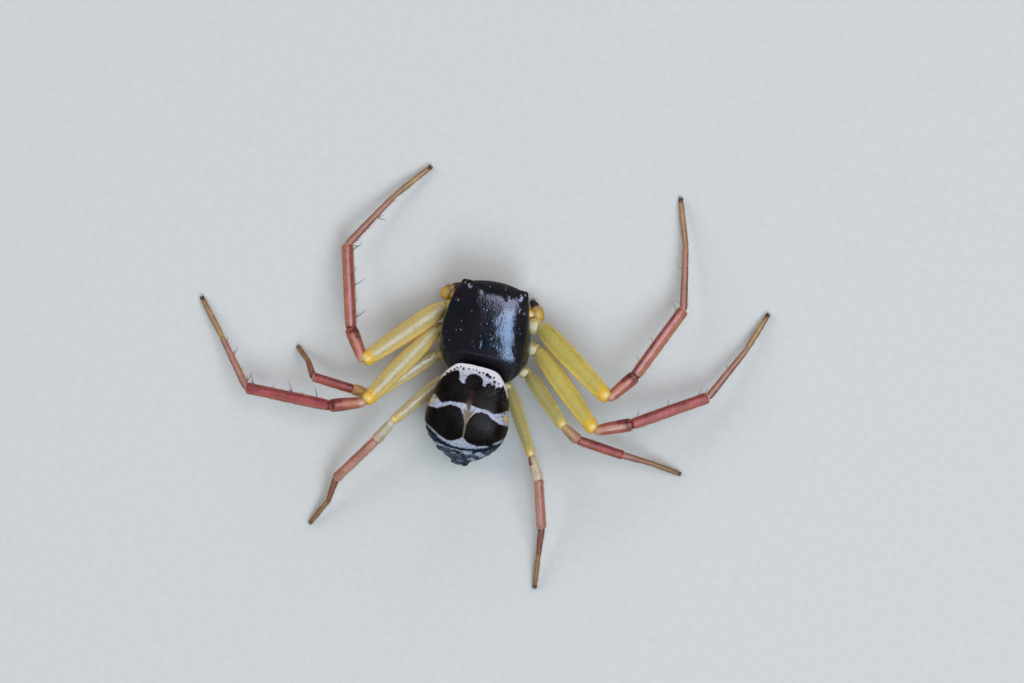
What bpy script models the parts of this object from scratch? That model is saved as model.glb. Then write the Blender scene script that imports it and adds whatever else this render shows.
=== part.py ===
"""A crab spider with a tall glossy black head shield and a black and white abdomen.

A life-size still model, standing on its eight feet with its head towards -Y.
Every size below is in millimetres. A place on the body is written as outward
(away from the middle line), forward (towards the head) and height above the
ground.
"""

import math

import bmesh
import bpy
from mathutils import Matrix, Vector

MM = 0.001

# Clearances between neighbouring pieces
GAP = 0.05
EYE_GAP = 0.02
FINEST_EDGE = 0.004

# How finely the round forms are divided, with the turns of the rings that round a limb's end
LEG_SIDES = 12
SHELL_SIDES = 40
CURVE_STEPS = 6
END_TURNS = (30, 60)
STEEP = 0.9
CREASE = 50

# Head shield: its edge seen from above (outward, forward), its roof and its floor
SHIELD_EDGE = (
    (0.0, 2.86),
    (0.60, 2.81),
    (1.02, 2.68),
    (1.22, 2.48),
    (1.33, 2.15),
    (1.42, 1.75),
    (1.56, 1.05),
    (1.65, 0.35),
    (1.60, -0.10),
    (1.44, -0.45),
    (1.12, -0.74),
    (0.60, -0.92),
    (0.0, -0.97),
)
SHIELD_ROOF = (
    (-0.97, 1.25),
    (-0.60, 1.55),
    (-0.31, 1.92),
    (0.10, 2.42),
    (0.55, 2.66),
    (1.30, 2.74),
    (2.30, 2.62),
    (2.86, 2.34),
)
SHIELD_FLOOR = 1.08
SHIELD_CENTRE = 1.15
SHIELD_PROFILE = (
    (0.62, 0.0),
    (0.94, 0.0),
    (1.0, 0.07),
    (0.995, 0.34),
    (0.97, 0.62),
    (0.915, 0.83),
    (0.80, 0.945),
    (0.58, 0.988),
    (0.30, 1.0),
)

# Eyes: outward, forward, height and radius, with the mounds that the side ones stand on
EYES = {
    "front_middle": (0.36, 2.69, 2.20, 0.075),
    "front_side": (1.11, 2.60, 2.23, 0.13),
    "back_middle": (0.53, 2.34, 2.57, 0.065),
    "back_side": (1.22, 1.93, 2.36, 0.11),
}
EYE_MOUNDS = (
    (0.98, 2.45, 2.10, 0.29),
    (1.03, 1.92, 2.22, 0.28),
)

# Breastplate between the hips, with its edge seen from below
BREASTPLATE_EDGE = (
    (0.0, 1.38),
    (0.30, 1.34),
    (0.52, 1.05),
    (0.60, 0.60),
    (0.55, 0.10),
    (0.36, -0.30),
    (0.0, -0.52),
)
BREASTPLATE_CENTRE = 0.5
BREASTPLATE_BOTTOM = 0.52
BREASTPLATE_TOP = 1.02
BREASTPLATE_PROFILE = (
    (0.55, 0.02),
    (0.85, 0.12),
    (1.0, 0.34),
    (1.0, 0.86),
    (0.90, 1.0),
    (0.50, 1.0),
)

# Abdomen: edge seen from above, and the height of its back and of its belly
ABDOMEN_EDGE = (
    (0.0, -0.30),
    (0.42, -0.31),
    (0.78, -0.38),
    (1.02, -0.60),
    (1.24, -0.90),
    (1.43, -1.60),
    (1.54, -2.23),
    (1.44, -2.76),
    (1.08, -3.28),
    (0.58, -3.66),
    (0.0, -3.80),
)
ABDOMEN_BACK = (
    (-3.80, 1.55),
    (-3.50, 2.20),
    (-3.10, 2.66),
    (-2.50, 2.98),
    (-1.90, 3.10),
    (-1.20, 3.05),
    (-0.60, 2.90),
    (-0.30, 2.72),
)
ABDOMEN_BELLY = (
    (-3.80, 0.95),
    (-3.50, 0.72),
    (-3.00, 0.55),
    (-2.20, 0.48),
    (-1.60, 0.60),
    (-1.20, 0.92),
    (-0.95, 1.36),
    (-0.60, 1.86),
    (-0.30, 2.26),
)
ABDOMEN_CENTRE = -2.15
ABDOMEN_PROFILE = (
    (0.30, 0.01),
    (0.58, 0.06),
    (0.80, 0.17),
    (0.94, 0.33),
    (1.0, 0.52),
    (0.985, 0.68),
    (0.91, 0.83),
    (0.74, 0.94),
    (0.46, 0.99),
)
WAIST = ((0.0, -0.66, 0.84), (0.0, -1.05, 0.90), (0.0, -1.60, 1.12))
WAIST_RADIUS = 0.17

# The abdomen is carried swung a little to the spider's left, in degrees about the waist
ABDOMEN_SWING = 1.5
SWING_CENTRE = (0.0, -0.80)

# Spinnerets: a low collar with a pair of large cones, a pair of small ones and a tail bump
SPINNERET_COLLAR = ((0.0, -3.45, 0.86), (0.0, -3.72, 0.84))
SPINNERET_COLLAR_RADIUS = 0.27
SPINNERETS = (
    ((0.12, -3.66, 0.74), (0.15, -3.96, 0.66), 0.11),
    ((0.17, -3.66, 0.90), (0.22, -3.92, 0.90), 0.09),
    ((0.0, -3.62, 1.03), (0.0, -3.90, 1.04), 0.12),
)
SPINNERET_TAPER = 0.6
SPINNERET_SIDES = 8

# Jaws, mouthparts and feelers
JAW = ((0.37, 2.44, 0.98), (0.35, 2.46, 0.70), (0.29, 2.47, 0.50))
JAW_RADII = (0.33, 0.30, 0.20)
MOUTH_LOBE = ((0.42, 1.52, 0.76), (0.37, 1.80, 0.73), (0.24, 2.06, 0.68))
MOUTH_LOBE_RADII = (0.21, 0.22, 0.15)
LOWER_LIP = ((0.0, 1.46, 0.74), (0.0, 1.74, 0.70))
LOWER_LIP_RADIUS = 0.22
FEELER_UPPER = ((0.62, 1.90, 0.74), (1.08, 2.03, 0.66), (1.55, 2.08, 0.66))
FEELER_UPPER_RADII = (0.22, 0.23, 0.23)
FEELER_LOWER = (
    (1.55, 2.13, 0.65),
    (1.53, 2.27, 0.62),
    (1.42, 2.39, 0.58),
    (1.27, 2.50, 0.53),
)
FEELER_LOWER_RADII = (0.19, 0.20, 0.21, 0.16)
FEELER_SPREAD = {"left": 0.25, "right": 0.0}

# Hips, from under the breastplate's edge to the root of the thigh
HIPS = {
    1: ((0.50, 1.14, 0.77), (1.36, 1.52, 0.77)),
    2: ((0.52, 0.60, 0.77), (1.46, 0.73, 0.77)),
    3: ((0.50, 0.06, 0.76), (1.34, -0.12, 0.77)),
    4: ((0.30, -0.34, 0.76), (0.84, -0.68, 0.77)),
}
THIGH_ROOTS = {
    1: (1.75, 1.62, 0.98),
    2: (1.88, 0.74, 1.00),
    3: (1.70, -0.16, 0.86),
    4: (1.16, -0.82, 0.90),
}
HIP_RADIUS = 0.255
HIP_END_RADIUS = 0.245

# Radii of each pair's thigh (root, belly, knee), knee piece and shin (near and far end)
LEG_RADII = {
    1: ((0.25, 0.380, 0.30), (0.25, 0.27), (0.25, 0.25)),
    2: ((0.25, 0.355, 0.29), (0.25, 0.27), (0.25, 0.25)),
    3: ((0.25, 0.290, 0.25), (0.25, 0.25), (0.25, 0.25)),
    4: ((0.25, 0.265, 0.25), (0.25, 0.25), (0.25, 0.25)),
}
BELLY_AT = 0.7
THIGH_RINGS = 8

# Radii along each foot, from the shin to the claws, and how far along its two lengths
# the rings between them stand
FOOT_RADII = (0.25, 0.24, 0.22, 0.19, 0.17, 0.16)
FOOT_SHARES = (0.35, 0.88)
TOE_SHARES = (0.12, 0.55)
CLAW_PAD = 0.15

# The pose: for each leg the run of its thigh, knee piece, shin, foot and toe over the
# ground, the way each one heads (degrees outward from straight ahead), and how high
# its far end stands
POSE = {
    ("left", 1): (
        (3.51, 137, 1.95), (1.26, 34, 1.72), (3.06, 16, 0.92), (2.45, -31, 0.42), (1.60, -39, 0.10),
    ),
    ("left", 2): (
        (3.63, 149, 2.10), (1.30, 108, 1.90), (3.21, 90, 0.90), (2.08, 39, 0.40), (1.58, 40, 0.10),
    ),
    ("left", 3): (
        (2.75, 135, 1.22), (0.71, 83, 1.40), (1.49, 85, 1.55), (0.67, 36, 0.86), (0.63, 52, 0.10),
    ),
    ("left", 4): (
        (2.56, 143, 1.62), (0.90, 150, 1.48), (2.04, 144, 0.85), (0.89, 170, 0.42), (0.97, 151, 0.10),
    ),
    ("right", 1): (
        (3.70, 124, 2.00), (1.24, 37, 1.78), (2.94, 23, 0.95), (2.29, -11, 0.44), (1.71, -19, 0.10),
    ),
    ("right", 2): (
        (3.61, 132, 1.88), (1.33, 68, 1.68), (2.88, 58, 0.90), (2.20, 26, 0.42), (1.43, 19, 0.10),
    ),
    ("right", 3): (
        (2.36, 133, 1.75), (0.69, 121, 1.60), (1.65, 97, 0.95), (1.07, 94, 0.44), (0.99, 99, 0.10),
    ),
    ("right", 4): (
        (2.59, 149, 1.62), (0.87, 152, 1.48), (1.72, 166, 0.85), (1.04, 177, 0.42), (1.10, 176, 0.10),
    ),
}

# Colour and roughness of each finish
BLACK_SHELL = ((0.010, 0.011, 0.012), 0.22)
ABDOMEN_SKIN = ((0.020, 0.022, 0.021), 0.35)
EYE_LENS = ((0.004, 0.004, 0.005), 0.06)
DARK_SPINNERET = ((0.055, 0.070, 0.085), 0.5)
MOUTH_SKIN = ((0.09, 0.06, 0.03), 0.45)
PALE_HIP = ((0.62, 0.56, 0.30), 0.4)
YELLOW_THIGH = ((0.72, 0.55, 0.10), 0.35)
PALE_THIGH = ((0.62, 0.60, 0.26), 0.35)
RED_KNEE = ((0.42, 0.14, 0.10), 0.35)
PALE_KNEE = ((0.66, 0.58, 0.30), 0.35)
RED_SHIN = ((0.46, 0.06, 0.07), 0.3)
BROWN_FOOT = ((0.34, 0.09, 0.06), 0.4)
FEELER_SKIN = ((0.66, 0.34, 0.06), 0.4)

SIDES = {"left": 1.0, "right": -1.0}


def at(outward, forward, height, side=1.0):
    """Turn a place on the body into a point, with the spider's left along +X."""
    return Vector((side * outward, -forward, height))


def read_table(table, forward):
    """Read a height from a table of forward and height pairs."""
    if forward <= table[0][0]:
        return table[0][1]
    for (near, low), (far, high) in zip(table, table[1:]):
        if forward <= far:
            share = (forward - near) / (far - near)
            return low + (high - low) * share
    return table[-1][1]


def smooth_curve(points, steps):
    """Run a smooth curve through the points, with so many steps from each to the next."""
    curve = []
    last = len(points) - 1
    for index in range(last):
        before = points[max(index - 1, 0)]
        start = points[index]
        end = points[index + 1]
        after = points[min(index + 2, last)]
        for step in range(steps):
            t = step / steps
            bend = (2 * before - 5 * start + 4 * end - after) * t * t
            twist = (3 * start - before - 3 * end + after) * t * t * t
            curve.append(0.5 * (2 * start + (end - before) * t + bend + twist))
    curve.append(points[last].copy())
    return curve


def even_points(curve, count):
    """Pick count points at even distances along a curve, its two ends included."""
    travelled = [0.0]
    for here, there in zip(curve, curve[1:]):
        travelled.append(travelled[-1] + (there - here).length)
    picked = []
    index = 0
    for number in range(count):
        goal = travelled[-1] * number / (count - 1)
        while index < len(curve) - 2 and travelled[index + 1] < goal:
            index += 1
        share = (goal - travelled[index]) / (travelled[index + 1] - travelled[index])
        picked.append(curve[index].lerp(curve[index + 1], share))
    return picked


def ring_from_edge(edge):
    """Make the whole outline of a two-sided form from the edge of its left half."""
    curve = smooth_curve([at(*point, 0.0) for point in edge], CURVE_STEPS)
    half = even_points(curve, SHELL_SIDES // 2 + 1)
    half[0].x = 0.0
    half[-1].x = 0.0
    other = [Vector((-point.x, point.y, 0.0)) for point in reversed(half[1:-1])]
    return half + other


def loft(rings, first_tip, last_tip):
    """Skin a row of rings, closed to a tip at each end."""
    surface = bmesh.new()
    rows = [[surface.verts.new(point) for point in ring] for ring in rings]
    count = len(rings[0])
    for near, far in zip(rows, rows[1:]):
        for index in range(count):
            after = (index + 1) % count
            surface.faces.new((near[index], near[after], far[after], far[index]))
    for row, tip in ((rows[0], first_tip), (rows[-1], last_tip)):
        end = surface.verts.new(tip)
        for index in range(count):
            surface.faces.new((row[index], row[(index + 1) % count], end))
    bmesh.ops.triangulate(surface, faces=surface.faces[:])
    bmesh.ops.recalc_face_normals(surface, faces=surface.faces[:])
    return surface


def domed_body(edge, profile, centre, floor_at, roof_at):
    """Stack shrinking copies of an outline between a floor and a roof."""
    outline = ring_from_edge(edge)
    middle = Vector((0.0, -centre, 0.0))
    rings = []
    for scale, rise in profile:
        ring = []
        for point in outline:
            spot = middle.lerp(point, scale)
            floor = floor_at(-spot.y)
            spot.z = floor + (roof_at(-spot.y) - floor) * rise
            ring.append(spot)
        rings.append(ring)
    bottom = at(0.0, centre, floor_at(centre))
    top = at(0.0, centre, roof_at(centre))
    return loft(rings, bottom, top)


def limb(points, radii, sides=LEG_SIDES):
    """A round limb along the points, closed by half a ball at each end."""
    ways = []
    for index in range(len(points)):
        ahead = points[min(index + 1, len(points) - 1)]
        behind = points[max(index - 1, 0)]
        ways.append((ahead - behind).normalized())
    stations = []
    for angle in reversed(END_TURNS):
        turn = math.radians(angle)
        back = points[0] - ways[0] * radii[0] * math.sin(turn)
        stations.append((back, ways[0], radii[0] * math.cos(turn)))
    stations += list(zip(points, ways, radii))
    for angle in END_TURNS:
        turn = math.radians(angle)
        ahead = points[-1] + ways[-1] * radii[-1] * math.sin(turn)
        stations.append((ahead, ways[-1], radii[-1] * math.cos(turn)))
    rings = []
    for middle, way, radius in stations:
        upright = Vector((0.0, 0.0, 1.0))
        if abs(way.z) > STEEP:
            upright = Vector((0.0, 1.0, 0.0))
        across = way.cross(upright).normalized()
        above = across.cross(way)
        ring = []
        for index in range(sides):
            turn = 2 * math.pi * index / sides
            ring.append(middle + (across * math.cos(turn) + above * math.sin(turn)) * radius)
        rings.append(ring)
    first_tip = points[0] - ways[0] * radii[0]
    last_tip = points[-1] + ways[-1] * radii[-1]
    return loft(rings, first_tip, last_tip)


def ball(centre, radius, subdivisions=2):
    """A ball of near-equal triangles."""
    surface = bmesh.new()
    bmesh.ops.create_icosphere(surface, subdivisions=subdivisions, radius=radius)
    bmesh.ops.translate(surface, verts=surface.verts[:], vec=centre)
    return surface


def grown(surface, margin):
    """Copy a surface and push every point of it outward by the margin."""
    copy = surface.copy()
    copy.normal_update()
    shifts = [point.normal.copy() * margin for point in copy.verts]
    for point, shift in zip(copy.verts, shifts):
        point.co += shift
    return copy


def as_object(name, surface):
    """Put a surface into the scene as an object, in metres."""
    mesh = bpy.data.meshes.new(name)
    surface.to_mesh(mesh)
    for vertex in mesh.vertices:
        vertex.co *= MM
    thing = bpy.data.objects.new(name, mesh)
    bpy.context.collection.objects.link(thing)
    return thing


def largest_piece(surface):
    """Keep only the largest closed surface."""
    unseen = set(surface.faces)
    pieces = []
    while unseen:
        reached = {unseen.pop()}
        front = list(reached)
        while front:
            face = front.pop()
            for edge in face.edges:
                for neighbour in edge.link_faces:
                    if neighbour in unseen:
                        unseen.discard(neighbour)
                        reached.add(neighbour)
                        front.append(neighbour)
        pieces.append(reached)
    pieces.sort(key=lambda faces: sum(face.calc_area() for face in faces))
    for scrap in pieces[:-1]:
        bmesh.ops.delete(surface, geom=list(scrap), context="FACES")
    return surface


def combine(surface, others, operation):
    """Join a surface with others, or cut them from it, by one Boolean on a collection."""
    target = as_object("target", surface)
    group = bpy.data.collections.new("tools")
    tools = [as_object("tool", other) for other in others]
    for tool in tools:
        group.objects.link(tool)
    modifier = target.modifiers.new("combine", "BOOLEAN")
    modifier.operation = operation
    modifier.operand_type = "COLLECTION"
    modifier.collection = group
    modifier.solver = "EXACT"
    graph = bpy.context.evaluated_depsgraph_get()
    result = bmesh.new()
    result.from_mesh(target.evaluated_get(graph).to_mesh())
    for point in result.verts:
        point.co /= MM
    for thing in [target] + tools:
        bpy.data.objects.remove(thing)
    bpy.data.collections.remove(group)
    bmesh.ops.remove_doubles(result, verts=result.verts[:], dist=FINEST_EDGE)
    bmesh.ops.triangulate(result, faces=result.faces[:])
    bmesh.ops.recalc_face_normals(result, faces=result.faces[:])
    return largest_piece(result)


def fused(surfaces):
    """Join surfaces that run into each other as one body."""
    return combine(surfaces[0], surfaces[1:], "UNION")


def cut_clear(surface, neighbours, margin=GAP):
    """Cut a surface back from each neighbour by the clearance between them."""
    for neighbour in neighbours:
        surface = combine(surface, [grown(neighbour, margin)], "DIFFERENCE")
    return surface


def add_node(name, surface, finish, parent):
    """Make the finished object of one sub-part, with its own material."""
    colour, roughness = finish
    thing = as_object(name, surface)
    thing.parent = parent
    thing.data.shade_smooth()
    thing.data.set_sharp_from_angle(angle=math.radians(CREASE))
    material = bpy.data.materials.new(name)
    material.use_nodes = True
    shader = material.node_tree.nodes["Principled BSDF"]
    shader.inputs["Base Color"].default_value = (*colour, 1.0)
    shader.inputs["Roughness"].default_value = roughness
    thing.data.materials.append(material)
    return thing


def eye_ball(name, side):
    """One eye, half sunk in the shield."""
    outward, forward, height, radius = EYES[name]
    return ball(at(outward, forward, height, side), radius)


def head_shield():
    """The tall shield with its eye mounds."""
    shell = domed_body(
        SHIELD_EDGE,
        SHIELD_PROFILE,
        SHIELD_CENTRE,
        lambda forward: SHIELD_FLOOR,
        lambda forward: read_table(SHIELD_ROOF, forward),
    )
    mounds = []
    for side in SIDES.values():
        for outward, forward, height, radius in EYE_MOUNDS:
            mounds.append(ball(at(outward, forward, height, side), radius))
    return fused([shell] + mounds)


def breastplate():
    """The plate on the underside, between the hips."""
    return domed_body(
        BREASTPLATE_EDGE,
        BREASTPLATE_PROFILE,
        BREASTPLATE_CENTRE,
        lambda forward: BREASTPLATE_BOTTOM,
        lambda forward: BREASTPLATE_TOP,
    )


def swung(surface):
    """Turn a surface about the waist, as the abdomen is carried."""
    centre = at(*SWING_CENTRE, 0.0)
    turn = Matrix.Rotation(math.radians(-ABDOMEN_SWING), 3, "Z")
    bmesh.ops.rotate(surface, verts=surface.verts[:], cent=centre, matrix=turn)
    return surface


def abdomen():
    """The rounded abdomen with the narrow waist that joins it to the body."""
    sac = domed_body(
        ABDOMEN_EDGE,
        ABDOMEN_PROFILE,
        ABDOMEN_CENTRE,
        lambda forward: read_table(ABDOMEN_BELLY, forward),
        lambda forward: read_table(ABDOMEN_BACK, forward),
    )
    waist = limb([at(*point) for point in WAIST], [WAIST_RADIUS] * len(WAIST))
    return fused([swung(sac), waist])


def spinnerets():
    """The cluster of spinnerets at the rear end."""
    collar = limb([at(*point) for point in SPINNERET_COLLAR], [SPINNERET_COLLAR_RADIUS] * 2)
    pieces = [collar]
    for start, end, radius in SPINNERETS:
        widths = [radius, SPINNERET_TAPER * radius]
        for side in SIDES.values():
            if start[0] > 0.0 or side > 0.0:
                pieces.append(limb([at(*start, side), at(*end, side)], widths, SPINNERET_SIDES))
    return swung(fused(pieces))


def mouthparts():
    """The lower lip with a lobe on each side of it."""
    pieces = [limb([at(*point) for point in LOWER_LIP], [LOWER_LIP_RADIUS] * 2)]
    for side in SIDES.values():
        pieces.append(limb([at(*point, side) for point in MOUTH_LOBE], MOUTH_LOBE_RADII))
    return fused(pieces)


def feeler_limb(side_name):
    """A palp, with its elbow spread outward as it is held on its side."""
    side = SIDES[side_name]
    spread = FEELER_SPREAD[side_name]
    upper = []
    for index, (outward, forward, height) in enumerate(FEELER_UPPER):
        share = index / (len(FEELER_UPPER) - 1)
        upper.append(at(outward + spread * share, forward, height, side))
    lower = []
    for outward, forward, height in FEELER_LOWER:
        lower.append(at(outward + spread, forward, height, side))
    return fused([limb(upper, FEELER_UPPER_RADII), limb(lower, FEELER_LOWER_RADII)])


def leg_joints(side_name, number):
    """The points where a leg bends, from the root of its thigh to its toe."""
    side = SIDES[side_name]
    joints = [at(*THIGH_ROOTS[number], side)]
    for run, heading, height in POSE[side_name, number]:
        turn = math.radians(heading)
        place = joints[-1] + at(run * math.sin(turn), run * math.cos(turn), 0.0, side)
        place.z = height
        joints.append(place)
    return joints


def thigh_limb(start, end, radii):
    """A thigh, which swells nearer to its root than to its knee."""
    first, belly, last = radii
    points = []
    widths = []
    for index in range(THIGH_RINGS):
        share = index / (THIGH_RINGS - 1)
        straight = first + (last - first) * share
        swell = belly - 0.5 * (first + last)
        points.append(start.lerp(end, share))
        widths.append(straight + swell * math.sin(math.pi * share ** BELLY_AT))
    return limb(points, widths)


def short_limb(start, end, radii):
    """A knee piece or a shin, which widens or narrows evenly."""
    middle = 0.5 * (radii[0] + radii[1])
    return limb([start, start.lerp(end, 0.5), end], [radii[0], middle, radii[1]])


def hip(number, side):
    """The hip and the short ring that carries the thigh."""
    inner, outer = HIPS[number]
    points = [at(*inner, side), at(*outer, side), at(*THIGH_ROOTS[number], side)]
    return limb(points, [HIP_RADIUS, HIP_RADIUS, HIP_END_RADIUS])


def foot(shin_end, heel, toe):
    """The foot, which narrows to its claws and rests on a small flat."""
    points = [shin_end]
    points += [shin_end.lerp(heel, share) for share in FOOT_SHARES]
    points += [heel.lerp(toe, share) for share in TOE_SHARES]
    points.append(toe - (toe - heel).normalized() * CLAW_PAD)
    surface = limb(points, FOOT_RADII)
    trimmed = bmesh.ops.bisect_plane(
        surface,
        geom=surface.verts[:] + surface.edges[:] + surface.faces[:],
        plane_co=(0.0, 0.0, 0.0),
        plane_no=(0.0, 0.0, -1.0),
        clear_outer=True,
    )
    rim = [item for item in trimmed["geom_cut"] if isinstance(item, bmesh.types.BMEdge)]
    bmesh.ops.holes_fill(surface, edges=rim)
    bmesh.ops.remove_doubles(surface, verts=surface.verts[:], dist=FINEST_EDGE)
    bmesh.ops.triangulate(surface, faces=surface.faces[:])
    bmesh.ops.recalc_face_normals(surface, faces=surface.faces[:])
    return surface


def build_leg(side_name, number, parent, body_parts):
    """One leg as five pieces, each seated on the end of the one before."""
    name = f"leg_{number}_{side_name}"
    thigh_radii, knee_radii, shin_radii = LEG_RADII[number]
    root, knee, shin_top, shin_end, heel, toe = leg_joints(side_name, number)
    whole_hip = hip(number, SIDES[side_name])
    thigh = thigh_limb(root, knee, thigh_radii)
    knee_piece = short_limb(knee, shin_top, knee_radii)
    shin = short_limb(shin_top, shin_end, shin_radii)
    whole_foot = foot(shin_end, heel, toe)
    thigh_skin = YELLOW_THIGH if number < 3 else PALE_THIGH
    knee_skin = RED_KNEE if number < 3 else PALE_KNEE
    add_node(name + "_coxa", cut_clear(whole_hip, body_parts), PALE_HIP, parent)
    add_node(name + "_femur", cut_clear(thigh, [whole_hip]), thigh_skin, parent)
    add_node(name + "_patella", cut_clear(knee_piece, [thigh]), knee_skin, parent)
    add_node(name + "_tibia", cut_clear(shin, [knee_piece]), RED_SHIN, parent)
    add_node(name + "_foot", cut_clear(whole_foot, [shin]), BROWN_FOOT, parent)
    return whole_hip


def build_spider():
    """Model every sub-part and stand the spider with its middle at the origin."""
    middle = bpy.data.objects.new("crab_spider", None)
    bpy.context.collection.objects.link(middle)

    shield = head_shield()
    plate = breastplate()
    eyes = []
    for eye in EYES:
        for side_name, side in SIDES.items():
            lens = eye_ball(eye, side)
            eyes.append(lens)
            add_node(f"eye_{eye}_{side_name}", lens, EYE_LENS, middle)
    add_node("carapace", cut_clear(shield, eyes, EYE_GAP), BLACK_SHELL, middle)
    add_node("sternum", plate, BLACK_SHELL, middle)

    sac = abdomen()
    add_node("abdomen", cut_clear(sac, [plate]), ABDOMEN_SKIN, middle)
    add_node("spinnerets", cut_clear(spinnerets(), [sac]), DARK_SPINNERET, middle)

    jaws = []
    for side_name, side in SIDES.items():
        jaw = limb([at(*point, side) for point in JAW], JAW_RADII)
        jaws.append(jaw)
        add_node(f"chelicera_{side_name}", cut_clear(jaw, [shield]), BLACK_SHELL, middle)
    mouth = mouthparts()
    add_node("mouthparts", cut_clear(mouth, [plate] + jaws), MOUTH_SKIN, middle)

    for side_name in SIDES:
        feeler = cut_clear(feeler_limb(side_name), [mouth] + jaws)
        add_node(f"palp_{side_name}", feeler, FEELER_SKIN, middle)
        neighbour = mouth
        for number in HIPS:
            neighbour = build_leg(side_name, number, middle, [plate, shield, sac, neighbour])

    low = Vector((math.inf, math.inf))
    high = Vector((-math.inf, -math.inf))
    for piece in middle.children:
        for vertex in piece.data.vertices:
            for axis in range(2):
                low[axis] = min(low[axis], vertex.co[axis])
                high[axis] = max(high[axis], vertex.co[axis])
    middle.location = (-(low.x + high.x) / 2, -(low.y + high.y) / 2, 0.0)


for leftover in list(bpy.data.objects):
    bpy.data.objects.remove(leftover)
build_spider()
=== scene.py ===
"""The looks of a life-size crab spider with a tall black head shield and yellow thighs.

Every piece is modelled in millimetres, with the head towards -Y and the spider's left
along +X. When it is finished it is brought to its real size and to its place.
"""

import math

import bpy
import numpy as np
from mathutils import Matrix, Vector


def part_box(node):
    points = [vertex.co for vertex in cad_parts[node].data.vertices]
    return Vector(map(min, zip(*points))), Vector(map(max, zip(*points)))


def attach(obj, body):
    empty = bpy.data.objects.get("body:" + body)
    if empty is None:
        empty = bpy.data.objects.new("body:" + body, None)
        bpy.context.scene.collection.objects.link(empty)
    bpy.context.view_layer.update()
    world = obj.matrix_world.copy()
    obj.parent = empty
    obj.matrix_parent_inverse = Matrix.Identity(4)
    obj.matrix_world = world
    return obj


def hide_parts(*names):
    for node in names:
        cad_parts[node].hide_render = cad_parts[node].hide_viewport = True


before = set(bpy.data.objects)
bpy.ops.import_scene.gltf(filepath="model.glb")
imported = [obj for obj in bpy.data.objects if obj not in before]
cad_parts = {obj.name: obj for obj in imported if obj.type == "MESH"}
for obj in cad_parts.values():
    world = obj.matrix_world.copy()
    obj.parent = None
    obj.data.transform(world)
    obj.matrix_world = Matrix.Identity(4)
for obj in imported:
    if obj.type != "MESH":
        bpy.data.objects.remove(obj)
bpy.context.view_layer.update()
bpy.ops.object.select_all(action="DESELECT")

MM = 0.001
UP = Vector((0.0, 0.0, 1.0))
SIDES = {"left": 1.0, "right": -1.0}

# Camera: far off with a long lens, turned and tilted as the spider is seen, in degrees
VIEW_TURN = 12.0
VIEW_TILT = 5.5
VIEW_DISTANCE = 900.0
VIEW_WIDTH = 36.864
VIEW_AIM = (-1.045, -0.854, 2.7)
SENSOR_WIDTH = 36.0

# Head shield: its edge seen from above (outward, forward), its roof, floor and shoulders
SHIELD_EDGE = (
    (0.0, 2.84), (0.60, 2.79), (1.02, 2.67), (1.24, 2.49), (1.36, 2.20), (1.42, 1.88),
    (1.48, 1.50), (1.56, 1.00), (1.62, 0.48), (1.57, 0.06), (1.45, -0.16), (1.28, -0.40),
    (1.02, -0.66), (0.60, -0.87), (0.0, -0.95),
)
SHIELD_ROOF = (
    (-0.97, 1.27), (-0.60, 1.66), (-0.30, 2.05), (0.0, 2.38), (0.40, 2.61), (0.80, 2.695),
    (1.15, 2.72), (1.70, 2.715), (2.20, 2.70), (2.50, 2.67), (2.70, 2.60), (2.86, 2.50),
)
SHIELD_FLOOR = 1.10
SHIELD_CENTRE = 1.15
SHIELD_PROFILE = (
    (0.60, 0.02), (0.93, 0.0), (0.99, 0.05), (1.0, 0.18), (1.0, 0.40), (0.99, 0.56),
    (0.965, 0.66), (0.92, 0.74), (0.85, 0.812), (0.75, 0.876), (0.63, 0.925), (0.50, 0.957),
    (0.35, 0.980), (0.20, 0.994),
)
UNDERCUT = 0.12
LEFT_FULLNESS = 0.12

# Eyes: outward, forward, height and radius, with the mounds that the side ones stand on
EYES = {
    "front_middle": (0.36, 2.69, 2.20, 0.075),
    "front_side": (1.11, 2.60, 2.23, 0.13),
    "back_middle": (0.53, 2.34, 2.57, 0.080),
    "back_side": (1.22, 1.93, 2.36, 0.11),
}
EYE_MOUNDS = (
    (0.97, 2.44, 2.12, 0.29), (1.03, 1.92, 2.18, 0.28), (0.52, 2.32, 2.40, 0.15), (0.36, 2.60, 2.17, 0.13),
)

# Breastplate between the hips
BREASTPLATE_EDGE = (
    (0.0, 1.36), (0.30, 1.32), (0.50, 1.04), (0.58, 0.60), (0.53, 0.10), (0.34, -0.28),
    (0.0, -0.50),
)
BREASTPLATE_PROFILE = (
    (0.30, 0.0), (0.62, 0.05), (0.86, 0.16), (0.98, 0.36), (0.98, 0.8), (0.86, 0.96), (0.4, 1.0),
)

# Abdomen: its edge seen from above, and the height of its back and of its belly
ABDOMEN_EDGE = (
    (0.0, -0.24), (0.42, -0.25), (0.76, -0.32), (1.01, -0.54), (1.23, -0.88), (1.41, -1.60),
    (1.52, -2.23), (1.42, -2.76), (1.06, -3.28), (0.57, -3.64), (0.0, -3.78),
)
ABDOMEN_BACK = (
    (-3.80, 1.55), (-3.50, 2.18), (-3.10, 2.64), (-2.50, 2.96), (-1.90, 3.07), (-1.20, 3.02),
    (-0.60, 2.88), (-0.22, 2.70),
)
ABDOMEN_BELLY = (
    (-3.80, 0.97), (-3.50, 0.74), (-3.00, 0.57), (-2.20, 0.50), (-1.60, 0.62), (-1.20, 0.94),
    (-0.95, 1.38), (-0.60, 1.88), (-0.22, 2.34),
)
ABDOMEN_CENTRE = -2.15
ABDOMEN_PROFILE = (
    (0.22, 0.0), (0.46, 0.03), (0.66, 0.09), (0.82, 0.18), (0.93, 0.31), (0.985, 0.44),
    (1.0, 0.56), (0.985, 0.69), (0.93, 0.81), (0.82, 0.90), (0.66, 0.955), (0.44, 0.985),
    (0.20, 1.0),
)
ABDOMEN_SWING = 1.5
SWING_CENTRE = (0.0, -0.80)

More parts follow.
